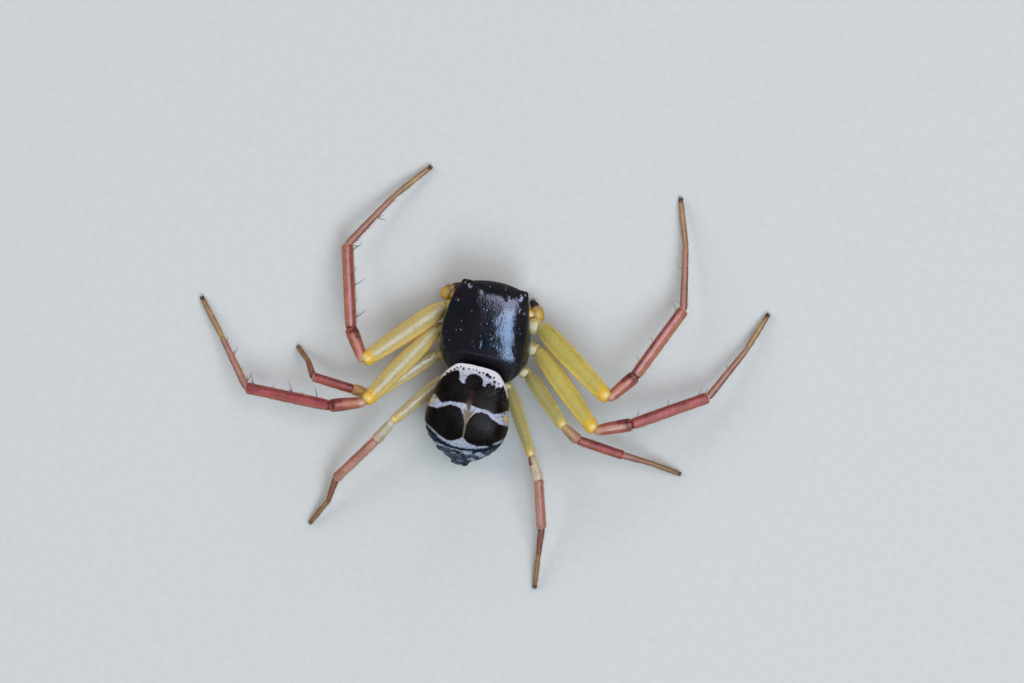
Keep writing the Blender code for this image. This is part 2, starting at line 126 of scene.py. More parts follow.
# Markings of the back (outward to the spider's right, forward), in millimetres
SPOT_CENTRE = (0.01, -0.86)
SPOT_RADIUS = 0.31
MIDDLE_BAND = (
    (-1.56, -1.56, -2.02), (-1.40, -1.54, -2.03), (-1.25, -1.60, -2.04), (-1.10, -1.74, -2.04),
    (-0.97, -1.83, -1.97), (-0.84, -1.77, -1.92), (-0.68, -1.71, -1.83), (-0.42, -1.69, -1.83),
    (-0.26, -1.68, -1.90), (-0.13, -1.68, -2.10), (0.02, -1.68, -2.44), (0.13, -1.70, -2.16),
    (0.27, -1.73, -1.95), (0.50, -1.76, -1.86), (0.72, -1.76, -1.89), (0.94, -1.85, -2.05),
    (1.22, -1.76, -2.15), (1.40, -1.64, -2.17), (1.60, -1.64, -2.17),
)
REAR_BAND = (
    (-1.60, -2.53, -2.56), (-1.40, -2.66, -2.70), (-1.04, -2.87, -2.93), (-0.85, -2.99, -3.08),
    (-0.55, -3.12, -3.20), (-0.33, -3.10, -3.27), (-0.10, -2.99, -3.28), (0.02, -2.89, -3.28),
    (0.22, -3.06, -3.27), (0.60, -3.12, -3.20), (0.90, -3.04, -3.10), (0.99, -3.04, -3.05),
)
REAR_PIECE = ((1.15, -2.91, -2.93), (1.24, -2.85, -2.93), (1.46, -2.69, -2.77), (1.53, -2.60, -2.63))
FRONT_PITS = (
    (-1.05, -0.74, 0.050), (-0.92, -0.62, 0.045), (-0.80, -0.52, 0.050), (-0.70, -0.45, 0.035),
    (-0.58, -0.38, 0.035), (-0.47, -0.44, 0.052), (-0.27, -0.41, 0.034), (-0.12, -0.39, 0.024),
    (0.0, -0.40, 0.030), (0.12, -0.45, 0.042), (0.27, -0.45, 0.034), (0.42, -0.48, 0.070),
    (0.53, -0.54, 0.062), (0.68, -0.53, 0.040), (0.73, -0.68, 0.060), (0.90, -0.72, 0.040),
    (0.97, -0.88, 0.060),
)

# Spinnerets: start, end and radius, on a low collar
SPINNERET_COLLAR = ((0.0, -3.45, 0.86), (0.0, -3.74, 0.84), 0.27)
SPINNERETS = (
    ((0.13, -3.58, 0.74), (0.14, -3.91, 0.68), 0.140),
    ((0.23, -3.58, 0.90), (0.24, -3.88, 0.90), 0.120),
    ((0.06, -3.60, 0.84), (0.05, -3.86, 0.80), 0.07),
)
TAIL_BUMP = ((0.0, -3.58, 1.03), (0.0, -3.90, 1.02), 0.15)
WAIST = ((0.0, -0.62, 0.88), (0.0, -1.40, 1.05), 0.16)

# Jaws, mouthparts and feelers
JAW = ((0.37, 2.42, 1.24), (0.31, 2.47, 0.44), 0.31)
FANG = ((0.30, 2.46, 0.47), (0.10, 2.36, 0.34), 0.06)
MOUTH_LOBE = ((0.42, 1.46, 0.77), (0.22, 2.10, 0.68), 0.20)
LOWER_LIP = ((0.0, 1.36, 0.76), (0.0, 1.82, 0.69), 0.19)
FEELER_ROOT = (0.60, 1.90, 0.76)
FEELER_ELBOW = (1.55, 2.09, 0.68)
FEELER_WRIST = (1.47, 2.33, 0.62)
FEELER_TIP = (1.20, 2.56, 0.49)
FEELER_SHIFT = {"left": (0.25, 0.0), "right": (0.0, -0.11)}
FEELER_TIP_TUCK = {"left": 0.30, "right": 0.0}

# Hips, from under the breastplate's edge to the root of the thigh
HIPS = {
    1: ((0.50, 1.14, 0.77), (1.36, 1.52, 0.77)),
    2: ((0.52, 0.60, 0.77), (1.46, 0.73, 0.77)),
    3: ((0.50, 0.06, 0.76), (1.34, -0.12, 0.77)),
    4: ((0.30, -0.34, 0.76), (0.84, -0.68, 0.77)),
}
THIGH_ROOTS = {
    1: (1.75, 1.62, 0.98),
    2: (1.88, 0.74, 1.00),
    3: (1.70, -0.16, 0.86),
    4: (1.16, -0.82, 0.90),
}

# Half widths of each pair's thigh, knee piece, shin, foot and toe
LEG_WIDTHS = {
    1: (0.375, 0.245, 0.222, 0.135, 0.100),
    2: (0.350, 0.245, 0.218, 0.130, 0.098),
    3: (0.275, 0.205, 0.175, 0.120, 0.090),
    4: (0.228, 0.195, 0.178, 0.118, 0.088),
}

# The pose: for each leg the run of its thigh, knee piece, shin, foot and toe over the
# ground, the way each one heads (degrees outward from straight ahead), and how high
# its far end stands
POSE = {
    ("left", 1): (
        (3.51, 137, 1.95), (1.26, 34, 1.72), (3.06, 16, 0.92), (2.45, -31, 0.42), (1.60, -39, 0.10),
    ),
    ("left", 2): (
        (3.63, 149, 2.10), (1.30, 108, 1.90), (3.21, 90, 0.90), (2.08, 39, 0.40), (1.58, 40, 0.10),
    ),
    ("left", 3): (
        (2.75, 135, 1.22), (0.71, 83, 1.40), (1.49, 85, 1.55), (0.67, 36, 0.86), (0.63, 52, 0.10),
    ),
    ("left", 4): (
        (2.56, 143, 1.62), (0.90, 150, 1.48), (2.04, 144, 0.85), (0.89, 170, 0.42), (0.97, 151, 0.10),
    ),
    ("right", 1): (
        (3.70, 124, 2.00), (1.24, 37, 1.78), (2.94, 23, 0.95), (2.29, -11, 0.44), (1.71, -19, 0.10),
    ),
    ("right", 2): (
        (3.61, 132, 1.88), (1.33, 68, 1.68), (2.88, 58, 0.90), (2.20, 26, 0.42), (1.43, 19, 0.10),
    ),
    ("right", 3): (
        (2.36, 133, 1.75), (0.69, 121, 1.60), (1.65, 97, 0.95), (1.07, 94, 0.44), (0.99, 99, 0.10),
    ),
    ("right", 4): (
        (2.59, 149, 1.62), (0.87, 152, 1.48), (1.72, 166, 0.85), (1.04, 177, 0.42), (1.10, 176, 0.10),
    ),
}

# Outlines of the turned pieces: share of the length, share of the half width, and how
# far the ring's middle is raised, in half widths
THIGH_FORM = (
    (0.0, 0.38, 0.0), (0.012, 0.56, 0.0), (0.05, 0.76, 0.0), (0.14, 0.92, 0.03), (0.27, 0.99, 0.06),
    (0.42, 1.0, 0.08), (0.60, 0.95, 0.08), (0.78, 0.85, 0.06), (0.90, 0.77, 0.06),
    (0.955, 0.74, 0.10), (0.985, 0.63, 0.12), (1.0, 0.38, 0.08),
)
KNEE_FORM = (
    (0.0, 0.40, 0.0), (0.03, 0.62, 0.0), (0.12, 0.80, 0.02), (0.35, 0.90, 0.10), (0.62, 0.98, 0.12),
    (0.84, 1.02, 0.06), (0.95, 0.97, 0.0), (0.985, 0.86, 0.0), (1.0, 0.60, 0.0),
)
SHIN_FORM = (
    (0.0, 0.50, 0.0), (0.012, 0.80, 0.0), (0.05, 0.96, 0.0), (0.25, 1.0, 0.05), (0.55, 0.99, 0.06),
    (0.80, 0.96, 0.03), (0.92, 0.97, 0.0), (0.955, 0.99, 0.0), (0.978, 0.93, 0.0), (0.993, 0.78, 0.0),
    (1.0, 0.54, 0.0),
)
FOOT_FORM = (
    (0.0, 0.60, 0.0), (0.015, 0.88, 0.0), (0.06, 1.05, 0.0), (0.25, 1.0, 0.10), (0.60, 0.88, 0.12),
    (0.88, 0.78, 0.04), (0.965, 0.80, 0.0), (1.0, 0.55, 0.0),
)
TOE_FORM = (
    (0.0, 0.55, 0.0), (0.02, 0.85, 0.0), (0.10, 1.0, 0.04), (0.45, 1.0, 0.12), (0.75, 0.92, 0.10),
    (0.93, 0.80, 0.0), (1.0, 0.50, 0.0),
)
HIP_FORM = (
    (0.0, 0.70, 0.0), (0.05, 0.90, 0.0), (0.30, 1.0, 0.0), (0.70, 1.0, 0.0), (0.90, 0.96, 0.0),
    (0.97, 0.84, 0.0), (1.0, 0.60, 0.0),
)
RING_FORM = (
    (0.0, 0.60, 0.0), (0.10, 0.88, 0.0), (0.35, 1.0, 0.0), (0.70, 0.98, 0.0), (0.92, 0.86, 0.0),
    (1.0, 0.60, 0.0),
)
FOLD_FORM = (
    (0.0, 0.60, 0.0), (0.10, 0.92, 0.0), (0.25, 1.0, 0.0), (0.38, 0.90, 0.0), (0.50, 1.0, 0.0),
    (0.62, 0.90, 0.0), (0.75, 1.0, 0.0), (0.90, 0.92, 0.0), (1.0, 0.60, 0.0),
)
JAW_FORM = (
    (0.0, 0.80, 0.0), (0.12, 0.98, 0.0), (0.40, 1.0, 0.10), (0.70, 0.88, 0.05), (0.90, 0.66, 0.0),
    (0.97, 0.50, 0.0), (1.0, 0.30, 0.0),
)
HOOK_FORM = (
    (0.0, 1.0, 0.0), (0.20, 0.95, 0.9), (0.45, 0.72, 1.5), (0.70, 0.45, 1.2), (0.90, 0.20, 0.4),
    (1.0, 0.05, 0.0),
)
CONE_FORM = (
    (0.0, 0.90, 0.0), (0.08, 1.0, 0.0), (0.45, 0.98, 0.0), (0.60, 0.92, 0.0), (0.66, 0.80, 0.0),
    (0.85, 0.66, 0.0), (0.96, 0.44, 0.0), (1.0, 0.18, 0.0),
)
LOBE_FORM = (
    (0.0, 0.55, 0.0), (0.08, 0.82, 0.0), (0.35, 0.98, 0.0), (0.65, 1.0, 0.0), (0.88, 0.78, 0.0),
    (0.97, 0.48, 0.0), (1.0, 0.20, 0.0),
)


def at(outward, forward, height, side=1.0):
    """Turn a place on the body into a point, with the spider's left along +X."""
    return Vector((side * outward, -forward, height))


lens_low, lens_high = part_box("eye_front_middle_left")
SHIFT = (lens_low + lens_high) / 2 - at(*EYES["front_middle"][:3]) * MM


def deselect_all():
    bpy.ops.object.select_all(action="DESELECT")


def read_points(piece):
    """The piece's points as rows of outward, backward and upward places."""
    places = np.empty(len(piece.data.vertices) * 3)
    piece.data.vertices.foreach_get("co", places)
    return places.reshape(-1, 3)


def write_points(piece, places):
    piece.data.vertices.foreach_set("co", np.asarray(places, dtype=np.float32).ravel())
    piece.data.update()


def read_normals(piece):
    """Which way each point of the skin faces."""
    ways = np.empty(len(piece.data.vertices) * 3)
    piece.data.vertex_normals.foreach_get("vector", ways)
    return ways.reshape(-1, 3)


def write_values(piece, name, values, kind="FLOAT"):
    """Keep a value, or a row of three, with each point, for the materials."""
    layer = piece.data.attributes.new(name, kind, "POINT")
    field = "vector" if kind == "FLOAT_VECTOR" else "value"
    layer.data.foreach_set(field, np.asarray(values, dtype=np.float32).ravel())


def eased(table, places, flat_ends=False):
    """Read a table of (place, value) pairs along a smooth line through its points."""
    xs, ys = np.array(table, dtype=float).T
    steps = np.diff(xs)
    rises = np.diff(ys) / steps
    slopes = np.empty_like(xs)
    slopes[1:-1] = (rises[:-1] * steps[1:] + rises[1:] * steps[:-1]) / (steps[:-1] + steps[1:])
    slopes[0], slopes[-1] = (0.0, 0.0) if flat_ends else (rises[0], rises[-1])
    places = np.clip(places, xs[0], xs[-1])
    cell = np.clip(np.searchsorted(xs, places, side="right") - 1, 0, len(steps) - 1)
    width = steps[cell]
    t = (places - xs[cell]) / width
    rising = ys[cell] * (1 + 2 * t) * (1 - t) ** 2 + ys[cell + 1] * t * t * (3 - 2 * t)
    leaning = slopes[cell] * t * (1 - t) ** 2 - slopes[cell + 1] * t * t * (1 - t)
    return rising + leaning * width


def step_up(values, low, high):
    """From 0 at low to 1 at high, softly."""
    t = np.clip((np.asarray(values) - low) / (high - low), 0.0, 1.0)
    return t * t * (3 - 2 * t)


def edge_reach(edge, centre):
    """How far an outline lies from its middle, for each turn from straight ahead."""
    table = []
    for outward, forward in edge:
        ahead = forward - centre
        table.append((math.atan2(outward, ahead), math.hypot(outward, ahead)))
    return table


def domed(name, edge, centre, floor, roof, profile, around, rings):
    """A closed shell with the given outline, from a ball whose rings take the profile."""
    deselect_all()
    bpy.ops.mesh.primitive_uv_sphere_add(segments=around, ring_count=rings, radius=1.0)
    piece = bpy.context.object
    piece.name = name
    ball = read_points(piece)
    whole = ((0.0, profile[0][1]),) + tuple(profile) + ((0.0, profile[-1][1]),)
    lengths = [math.dist(near, far) for near, far in zip(whole, whole[1:])]
    marks = np.concatenate(([0.0], np.cumsum(lengths))) / sum(lengths)
    along = np.arccos(np.clip(-ball[:, 2], -1.0, 1.0)) / math.pi
    share_out = eased(list(zip(marks, [out for out, up in whole])), along)
    share_up = eased(list(zip(marks, [up for out, up in whole])), along)
    turn = np.arctan2(ball[:, 0], -ball[:, 1])
    reach = eased(edge_reach(edge, centre), np.abs(turn), flat_ends=True) * np.maximum(share_out, 0.0)
    outward = reach * np.sin(turn)
    forward = centre + reach * np.cos(turn)
    low = eased(floor, forward)
    high = eased(roof, forward)
    write_points(piece, np.column_stack((outward, -forward, low + (high - low) * share_up)))
    return piece, share_out, share_up


def rounded(piece, levels):
    """Round the piece off with a subdivision surface."""
    smooth = piece.modifiers.new("round", "SUBSURF")
    smooth.levels = levels
    smooth.render_levels = levels
    bpy.context.view_layer.objects.active = piece
    bpy.ops.object.modifier_apply(modifier=smooth.name)


def turned(name, form, length, half, sides=14, levels=2, flat=1.0):
    """Draw out a ring along +Z through the stations of a form, then round the piece off."""
    deselect_all()
    share, width, rise = form[0]
    start = Vector((0.0, rise * half, share * length))
    bpy.ops.mesh.primitive_circle_add(
        vertices=sides, radius=width * half, fill_type="NGON", location=start,
    )
    piece = bpy.context.object
    piece.name = name
    bpy.ops.object.mode_set(mode="EDIT")
    bpy.ops.mesh.select_all(action="SELECT")
    bpy.ops.transform.resize(value=(1.0, flat, 1.0), center_override=start)
    for share, next_width, rise in form[1:]:
        end = Vector((0.0, rise * half, share * length))
        bpy.ops.mesh.extrude_region_move(TRANSFORM_OT_translate={"value": end - start})
        growth = next_width / width
        bpy.ops.transform.resize(value=(growth, growth, 1.0), center_override=end)
        start, width = end, next_width
    bpy.ops.mesh.select_all(action="SELECT")
    bpy.ops.mesh.normals_make_consistent(inside=False)
    bpy.ops.object.mode_set(mode="OBJECT")
    bpy.ops.object.transform_apply(location=True, rotation=True, scale=True)
    if levels:
        rounded(piece, levels)
    return piece


class Stretch:
    """One straight length of a leg or feeler, from joint to joint, with its own axes."""

    def __init__(self, start, end, half, form, side, flat=1.0, bow=0.0):
        self.start, self.end, self.half, self.form = start, end, half, form
        self.side, self.flat, self.bow = side, flat, bow
        self.length = (end - start).length
        self.along = (end - start).normalized()
        upright = UP if abs(self.along.z) < 0.9 else Vector((0.0, -1.0, 0.0))
        self.across = upright.cross(self.along).normalized()
        self.ridge = self.along.cross(self.across)
        self.front = self.across * -side

    def frame(self):
        """Turns a piece drawn along +Z into this stretch."""
        axes = Matrix((self.across, self.ridge, self.along)).transposed()
        return Matrix.Translation(self.start) @ axes.to_4x4()

    def sizes(self, shares):
        """The half widths and the raised middles at shares of the length."""
        places, widths, rises = zip(*self.form)
        half = eased(list(zip(places, widths)), shares) * self.half
        return half, eased(list(zip(places, rises)), shares) * self.half

    def bows(self, shares):
        """How far the middle is pushed aside, towards the front."""
        return self.bow * np.sin(np.clip(shares, 0.0, 1.0) * math.pi)

    def skin_at(self, shares, turns):
        """Points on the skin and the ways out of it, for shares of the length and turns."""
        half, rises = self.sizes(shares)
        front, ridge, along = (np.array(way) for way in (self.front, self.ridge, self.along))
        sines, cosines = np.sin(turns)[:, None], np.cos(turns)[:, None]
        middle = np.array(self.start) + along * (shares * self.length)[:, None]
        middle = middle + ridge * rises[:, None] + front * self.bows(shares)[:, None]
        reach = front * sines * half[:, None] + ridge * cosines * half[:, None] * self.flat
        return middle + reach, front * sines + ridge * cosines

    def build(self, name, sides=14, levels=2):
        """The turned piece, set in place, with each point's side and share kept for its colours."""
        piece = turned(name, self.form, self.length, self.half, sides, levels, self.flat)
        places = read_points(piece)
        shares = places[:, 2] / self.length
        across, up = places[:, 0], places[:, 1] - self.sizes(shares)[1]
        reach = np.maximum(np.hypot(across, up), 1e-6)
        sides_and_share = np.column_stack((across * -self.side / reach, up / reach, shares))
        write_values(piece, "place", sides_and_share, "FLOAT_VECTOR")
        if self.bow:
            places[:, 0] -= self.side * self.bows(shares)
            write_points(piece, places)
        piece.data.transform(self.frame())
        return piece


def joined(name, pieces):
    """Make one object of several pieces."""
    deselect_all()
    for piece in pieces:
        piece.select_set(True)
    bpy.context.view_layer.objects.active = pieces[0]
    if len(pieces) > 1:
        bpy.ops.object.join()
    piece = bpy.context.object
    piece.name = name
    return piece


def finished(piece, skin, slot, *nodes):
    """Give the piece its skin, its real size and its place, and let it ride on the body."""
    piece.data.materials.clear()
    piece.data.materials.append(skin)
    piece.data.transform(Matrix.Translation(SHIFT) @ Matrix.Scale(MM, 4))
    piece.data.shade_smooth()
    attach(piece, "root")
    if nodes:
        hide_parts(*nodes)
    return piece


def add(tree, kind, inputs=None, **settings):
    """Add a shader node, with values or other nodes' sockets on its inputs."""
    node = tree.nodes.new(kind)
    for name, value in settings.items():
        setattr(node, name, value)
    for name, value in (inputs or {}).items():
        if isinstance(value, bpy.types.NodeSocket):
            tree.links.new(value, node.inputs[name])
        else:
            node.inputs[name].default_value = value
    return node


def opaque(colour):
    return (*colour, 1.0)


def mixed(tree, mask, under, over):
    """Lay one colour over another where the mask is white."""
    mix = add(tree, "ShaderNodeMix", data_type="RGBA")
    for socket, value in ((mix.inputs[0], mask), (mix.inputs[6], under), (mix.inputs[7], over)):
        if isinstance(value, bpy.types.NodeSocket):
            tree.links.new(value, socket)
        else:
            socket.default_value = value if isinstance(value, float) else opaque(value)
    return mix.outputs[2]


def summed(tree, kind, first, second, third=0.0):
    """One step of arithmetic on values."""
    step = add(tree, "ShaderNodeMath", operation=kind)
    for socket, value in zip(step.inputs, (first, second, third)):
        if isinstance(value, bpy.types.NodeSocket):
            tree.links.new(value, socket)
        else:
            socket.default_value = value
    return step.outputs[0]


def ramped(tree, value, low, high, start=0.0, end=1.0):
    """Bring a value from low..high to start..end, softly."""
    ramp = add(tree, "ShaderNodeMapRange", interpolation_type="SMOOTHSTEP")
    for name, entry in (("Value", value), ("From Min", low), ("From Max", high)):
        if isinstance(entry, bpy.types.NodeSocket):
            tree.links.new(entry, ramp.inputs[name])
        else:
            ramp.inputs[name].default_value = entry
    ramp.inputs["To Min"].default_value = start
    ramp.inputs["To Max"].default_value = end
    return ramp.outputs[0]


def millimetres(tree):
    """The place on the object, in millimetres."""
    place = add(tree, "ShaderNodeTexCoord")
    scaled = add(tree, "ShaderNodeMapping", {"Vector": place.outputs["Object"]})
    scaled.inputs["Scale"].default_value = (1 / MM, 1 / MM, 1 / MM)
    return scaled.outputs[0]


def noise(tree, place, scale, detail=2.0, roughness=0.5):
    cloud = add(tree, "ShaderNodeTexNoise", {"Vector": place, "Scale": scale, "Detail": detail})
    cloud.inputs["Roughness"].default_value = roughness
    return cloud.outputs[0]


def cells(tree, place, scale, feature="F1"):
    grains = add(tree, "ShaderNodeTexVoronoi", {"Vector": place, "Scale": scale}, feature=feature)
    return grains.outputs["Distance"]


def shell_grain_group():
    """Fine grains, pits and pores of the shell, as a height, and cloudy wear, as a mask."""
    group = bpy.data.node_groups.new("shell grain", "ShaderNodeTree")
    face = group.interface
    face.new_socket("Grain size", in_out="INPUT", socket_type="NodeSocketFloat")
    face.new_socket("Pore size", in_out="INPUT", socket_type="NodeSocketFloat")
    face.new_socket("Height", in_out="OUTPUT", socket_type="NodeSocketFloat")
    face.new_socket("Cloud", in_out="OUTPUT", socket_type="NodeSocketFloat")
    face.new_socket("Pores", in_out="OUTPUT", socket_type="NodeSocketFloat")
    start = group.nodes.new("NodeGroupInput")
    end = group.nodes.new("NodeGroupOutput")
    place = millimetres(group)
    grain_scale = summed(group, "DIVIDE", 1.0, start.outputs["Grain size"])
    pore_scale = summed(group, "DIVIDE", 1.0, start.outputs["Pore size"])
    grains = cells(group, place, grain_scale, "SMOOTH_F1")
    pores = ramped(group, cells(group, place, pore_scale), 0.10, 0.24, 1.0, 0.0)
    ripple = noise(group, place, grain_scale, 3.0, 0.6)
    height = summed(group, "SUBTRACT", summed(group, "MULTIPLY_ADD", ripple, 0.7, grains), pores)
    group.links.new(height, end.inputs["Height"])
    group.links.new(noise(group, place, 1.7, 4.0, 0.6), end.inputs["Cloud"])
    group.links.new(pores, end.inputs["Pores"])
    return group


def limb_mark_group():
    """A band or streak on a limb: a mask from the side it lies on and its share of the length."""
    group = bpy.data.node_groups.new("limb mark", "ShaderNodeTree")
    face = group.interface
    for name, kind in (
        ("Place", "NodeSocketVector"), ("Front", "NodeSocketFloat"), ("Ridge", "NodeSocketFloat"),
        ("Edge", "NodeSocketFloat"), ("Full", "NodeSocketFloat"), ("From", "NodeSocketFloat"),
        ("To", "NodeSocketFloat"), ("Fade", "NodeSocketFloat"), ("Ragged", "NodeSocketFloat"),
        ("Strength", "NodeSocketFloat"),
    ):
        face.new_socket(name, in_out="INPUT", socket_type=kind)
    face.new_socket("Mask", in_out="OUTPUT", socket_type="NodeSocketFloat")
    start = group.nodes.new("NodeGroupInput")
    end = group.nodes.new("NodeGroupOutput")
    parts = add(group, "ShaderNodeSeparateXYZ", {"Vector": start.outputs["Place"]})
    cloud = summed(group, "SUBTRACT", noise(group, millimetres(group), 9.0, 5.0, 0.7), 0.5)
    rag = summed(group, "MULTIPLY", cloud, start.outputs["Ragged"])
    facing = summed(group, "MULTIPLY", parts.outputs["X"], start.outputs["Front"])
    facing = summed(group, "MULTIPLY_ADD", parts.outputs["Y"], start.outputs["Ridge"], facing)
    facing = summed(group, "ADD", facing, rag)
    round_mask = ramped(group, facing, start.outputs["Edge"], start.outputs["Full"])
    share = summed(group, "MULTIPLY_ADD", rag, 0.12, parts.outputs["Z"])
    begins = ramped(
        group, share, summed(group, "SUBTRACT", start.outputs["From"], start.outputs["Fade"]),
        start.outputs["From"],
    )
    ends = ramped(
        group, share, start.outputs["To"],
        summed(group, "ADD", start.outputs["To"], start.outputs["Fade"]), 1.0, 0.0,
    )
    mask = summed(group, "MULTIPLY", summed(group, "MULTIPLY", begins, ends), round_mask)
    group.links.new(summed(group, "MULTIPLY", mask, start.outputs["Strength"]), end.inputs["Mask"])
    return group


SHELL_GRAIN = shell_grain_group()
LIMB_MARK = limb_mark_group()


def shader(name, **constants):
    """A new material with constant values on its Principled shader."""
    material = bpy.data.materials.new(name)
    material.use_nodes = True
    tree = material.node_tree
    surface = tree.nodes["Principled BSDF"]
    for key, value in constants.items():
        surface.inputs[key.replace("_", " ").title().replace("Ior", "IOR")].default_value = value
    return material, tree, surface


def relief(tree, surface, height, depth):
    """Bump from a height, with its depth in millimetres."""
    bump = add(tree, "ShaderNodeBump", {"Height": height, "Distance": depth * MM, "Strength": 1.0})
    tree.links.new(bump.outputs[0], surface.inputs["Normal"])


def limb_skin(name, base, marks, rough=0.34, see_through=0.25, depth=0.006, mottle=0.12, gloss=0.5):
    """The skin of one stretch of a limb: a base colour with bands and streaks over it.

    A mark is its colour, the side that it lies on (0 the ridge, 90 the front), how far it
    reaches round and how soft its edge is, all in degrees, then where it starts and ends along
    the stretch, how fast it fades there, and its strength.
    """
    material, tree, surface = shader(
        name, subsurface_weight=see_through, subsurface_scale=0.35 * MM,
        subsurface_radius=(1.0, 0.6, 0.3), specular_ior_level=0.5,
        coat_weight=gloss, coat_roughness=0.12,
    )
    place = add(tree, "ShaderNodeAttribute", attribute_name="place").outputs["Vector"]
    grain = add(tree, "ShaderNodeGroup", node_tree=SHELL_GRAIN)
    grain.inputs["Grain size"].default_value = 0.055
    grain.inputs["Pore size"].default_value = 0.16
    darker = tuple(value * (1.0 - 3 * mottle) for value in base)
    lighter = tuple(value * (1.0 + mottle) for value in base)
    colour = mixed(tree, ramped(tree, grain.outputs["Cloud"], 0.35, 0.65), darker, lighter)
    for tint, turn, reach, soft, begins, ends, fade, strength in marks:
        mark = add(tree, "ShaderNodeGroup", {"Place": place}, node_tree=LIMB_MARK)
        whole = reach >= 180
        values = (
            ("Front", 0.0 if whole else math.sin(math.radians(turn))),
            ("Ridge", 0.0 if whole else math.cos(math.radians(turn))),
            ("Edge", -2.0 if whole else math.cos(math.radians(min(reach + soft, 180)))),
            ("Full", -1.0 if whole else math.cos(math.radians(reach))),
            ("From", begins), ("To", ends), ("Fade", fade), ("Ragged", 0.22), ("Strength", strength),
        )
        for socket, value in values:
            mark.inputs[socket].default_value = value
        colour = mixed(tree, mark.outputs["Mask"], colour, tint)
    stipple = ramped(tree, cells(tree, millimetres(tree), 13.0), 0.12, 0.36, 0.30, 0.0)
    colour = mixed(tree, stipple, colour, tuple(min(value * 1.5 + 0.10, 0.85) for value in base))
    tree.links.new(colour, surface.inputs["Base Color"])
    rough_map = ramped(tree, grain.outputs["Cloud"], 0.3, 0.7, rough - 0.05, rough + 0.08)
    tree.links.new(rough_map, surface.inputs["Roughness"])
    relief(tree, surface, grain.outputs["Height"], depth)
    return material


# Thighs: bright yellow edges, partly painted light, a paler band along the ridge with a painted highlight streak,
# orange at the knee with a painted glint
def thigh_skin(name, edges, rear, band, knee, streak, ridge_highlight_strength, front_edge_glow_paint):
    marks = (
        # The rear and front edges are lightened: painted light, a glow through the rims and lighter where shade falls.
        (rear, -90, 50, 26, 0.0, 0.96, 0.05, 0.9),
        (rear, 75, 36, 24, 0.0, 0.96, 0.05, front_edge_glow_paint),
        (rear, 95, 24, 20, 0.0, 0.96, 0.05, 0.7),
        (band, 2, 30, 26, 0.05, 0.95, 0.05, 0.9),
        # A pale streak along the ridge: partly a whitish band, partly a painted highlight.
        (streak, -6, 5, 10, 0.08, 0.86, 0.10, ridge_highlight_strength),
        (tuple(value * 0.8 for value in band), 180, 50, 40, 0.05, 0.95, 0.05, 0.8),
        ((0.66, 0.56, 0.26), 0, 180, 0, -0.1, 0.03, 0.04, 0.8),
        (knee, -40, 90, 60, 0.94, 1.1, 0.10, 0.9),
        # A pale spot on top of the knee end: a painted glint.
        ((0.80, 0.66, 0.30), 10, 14, 30, 0.955, 0.985, 0.02, 0.6),
    )
    return limb_skin(name, edges, marks, rough=0.36, see_through=0.35, depth=0.004, gloss=0.2)


def knee_skin(name, base, front, glow, ring, shine=1.0, extra=None):
    marks = (
        # The glow colour tints the root all round; along the ridge it is a painted highlight.
        (glow, 0, 180, 0, -0.1, 0.06, 0.20, 0.8),
        (glow, 2, 10, 20, 0.15, 0.70, 0.15, 0.5),
        (front, 60, 20, 24, 0.10, 0.62, 0.12, 0.35),
        (front, 46, 20, 22, 0.66, 0.94, 0.10, 0.85),
        (ring, 25, 34, 44, 0.84, 0.90, 0.05, 0.8),
        (ring, 0, 180, 0, 0.975, 1.1, 0.010, 0.9),
    )
    marks += (extra,) if extra else ()
    return limb_skin(
        name, base, marks, rough=0.46 - 0.20 * shine, see_through=0.25, depth=0.003, gloss=0.4 * shine,
    )


def shin_skin(name, base, edge, glow, dark, shine=1.0):
    marks = (
        # Orange edges: a painted glow of light through the rims.
        (edge, 90, 34, 30, 0.03, 0.97, 0.04, 0.45),
        (edge, -90, 52, 30, 0.03, 0.97, 0.04, 0.65),
        # A pale streak along the ridge: a painted highlight.
        (glow, 4, 8, 14, 0.05, 0.93, 0.05, 0.60 * shine),
        (dark, 40, 8, 18, 0.02, 0.97, 0.05, 0.6),
        (dark, 0, 180, 0, -0.1, 0.022, 0.012, 0.85),
        (tuple(value * 0.7 for value in base), 0, 180, 0, 0.90, 0.95, 0.03, 0.4),
        ((0.70, 0.48, 0.32), -20, 90, 40, 0.982, 1.1, 0.006, 0.8),
    )
    return limb_skin(
        name, base, marks, rough=0.47 - 0.22 * shine, see_through=0.22, depth=0.003, gloss=0.5 * shine,
    )


def foot_skin(name, base, glow, dark, tip):
    marks = (
        # A pale streak along the ridge: a painted highlight.
        (glow, -5, 16, 26, 0.04, 0.97, 0.05, 0.5),
        (dark, -72, 12, 14, 0.03, 0.98, 0.04, 0.9),
        (tip, 0, 180, 0, 0.93, 1.1, 0.04, 0.8),
    )
    return limb_skin(name, base, marks, rough=0.40, see_through=0.18, depth=0.003, gloss=0.15)


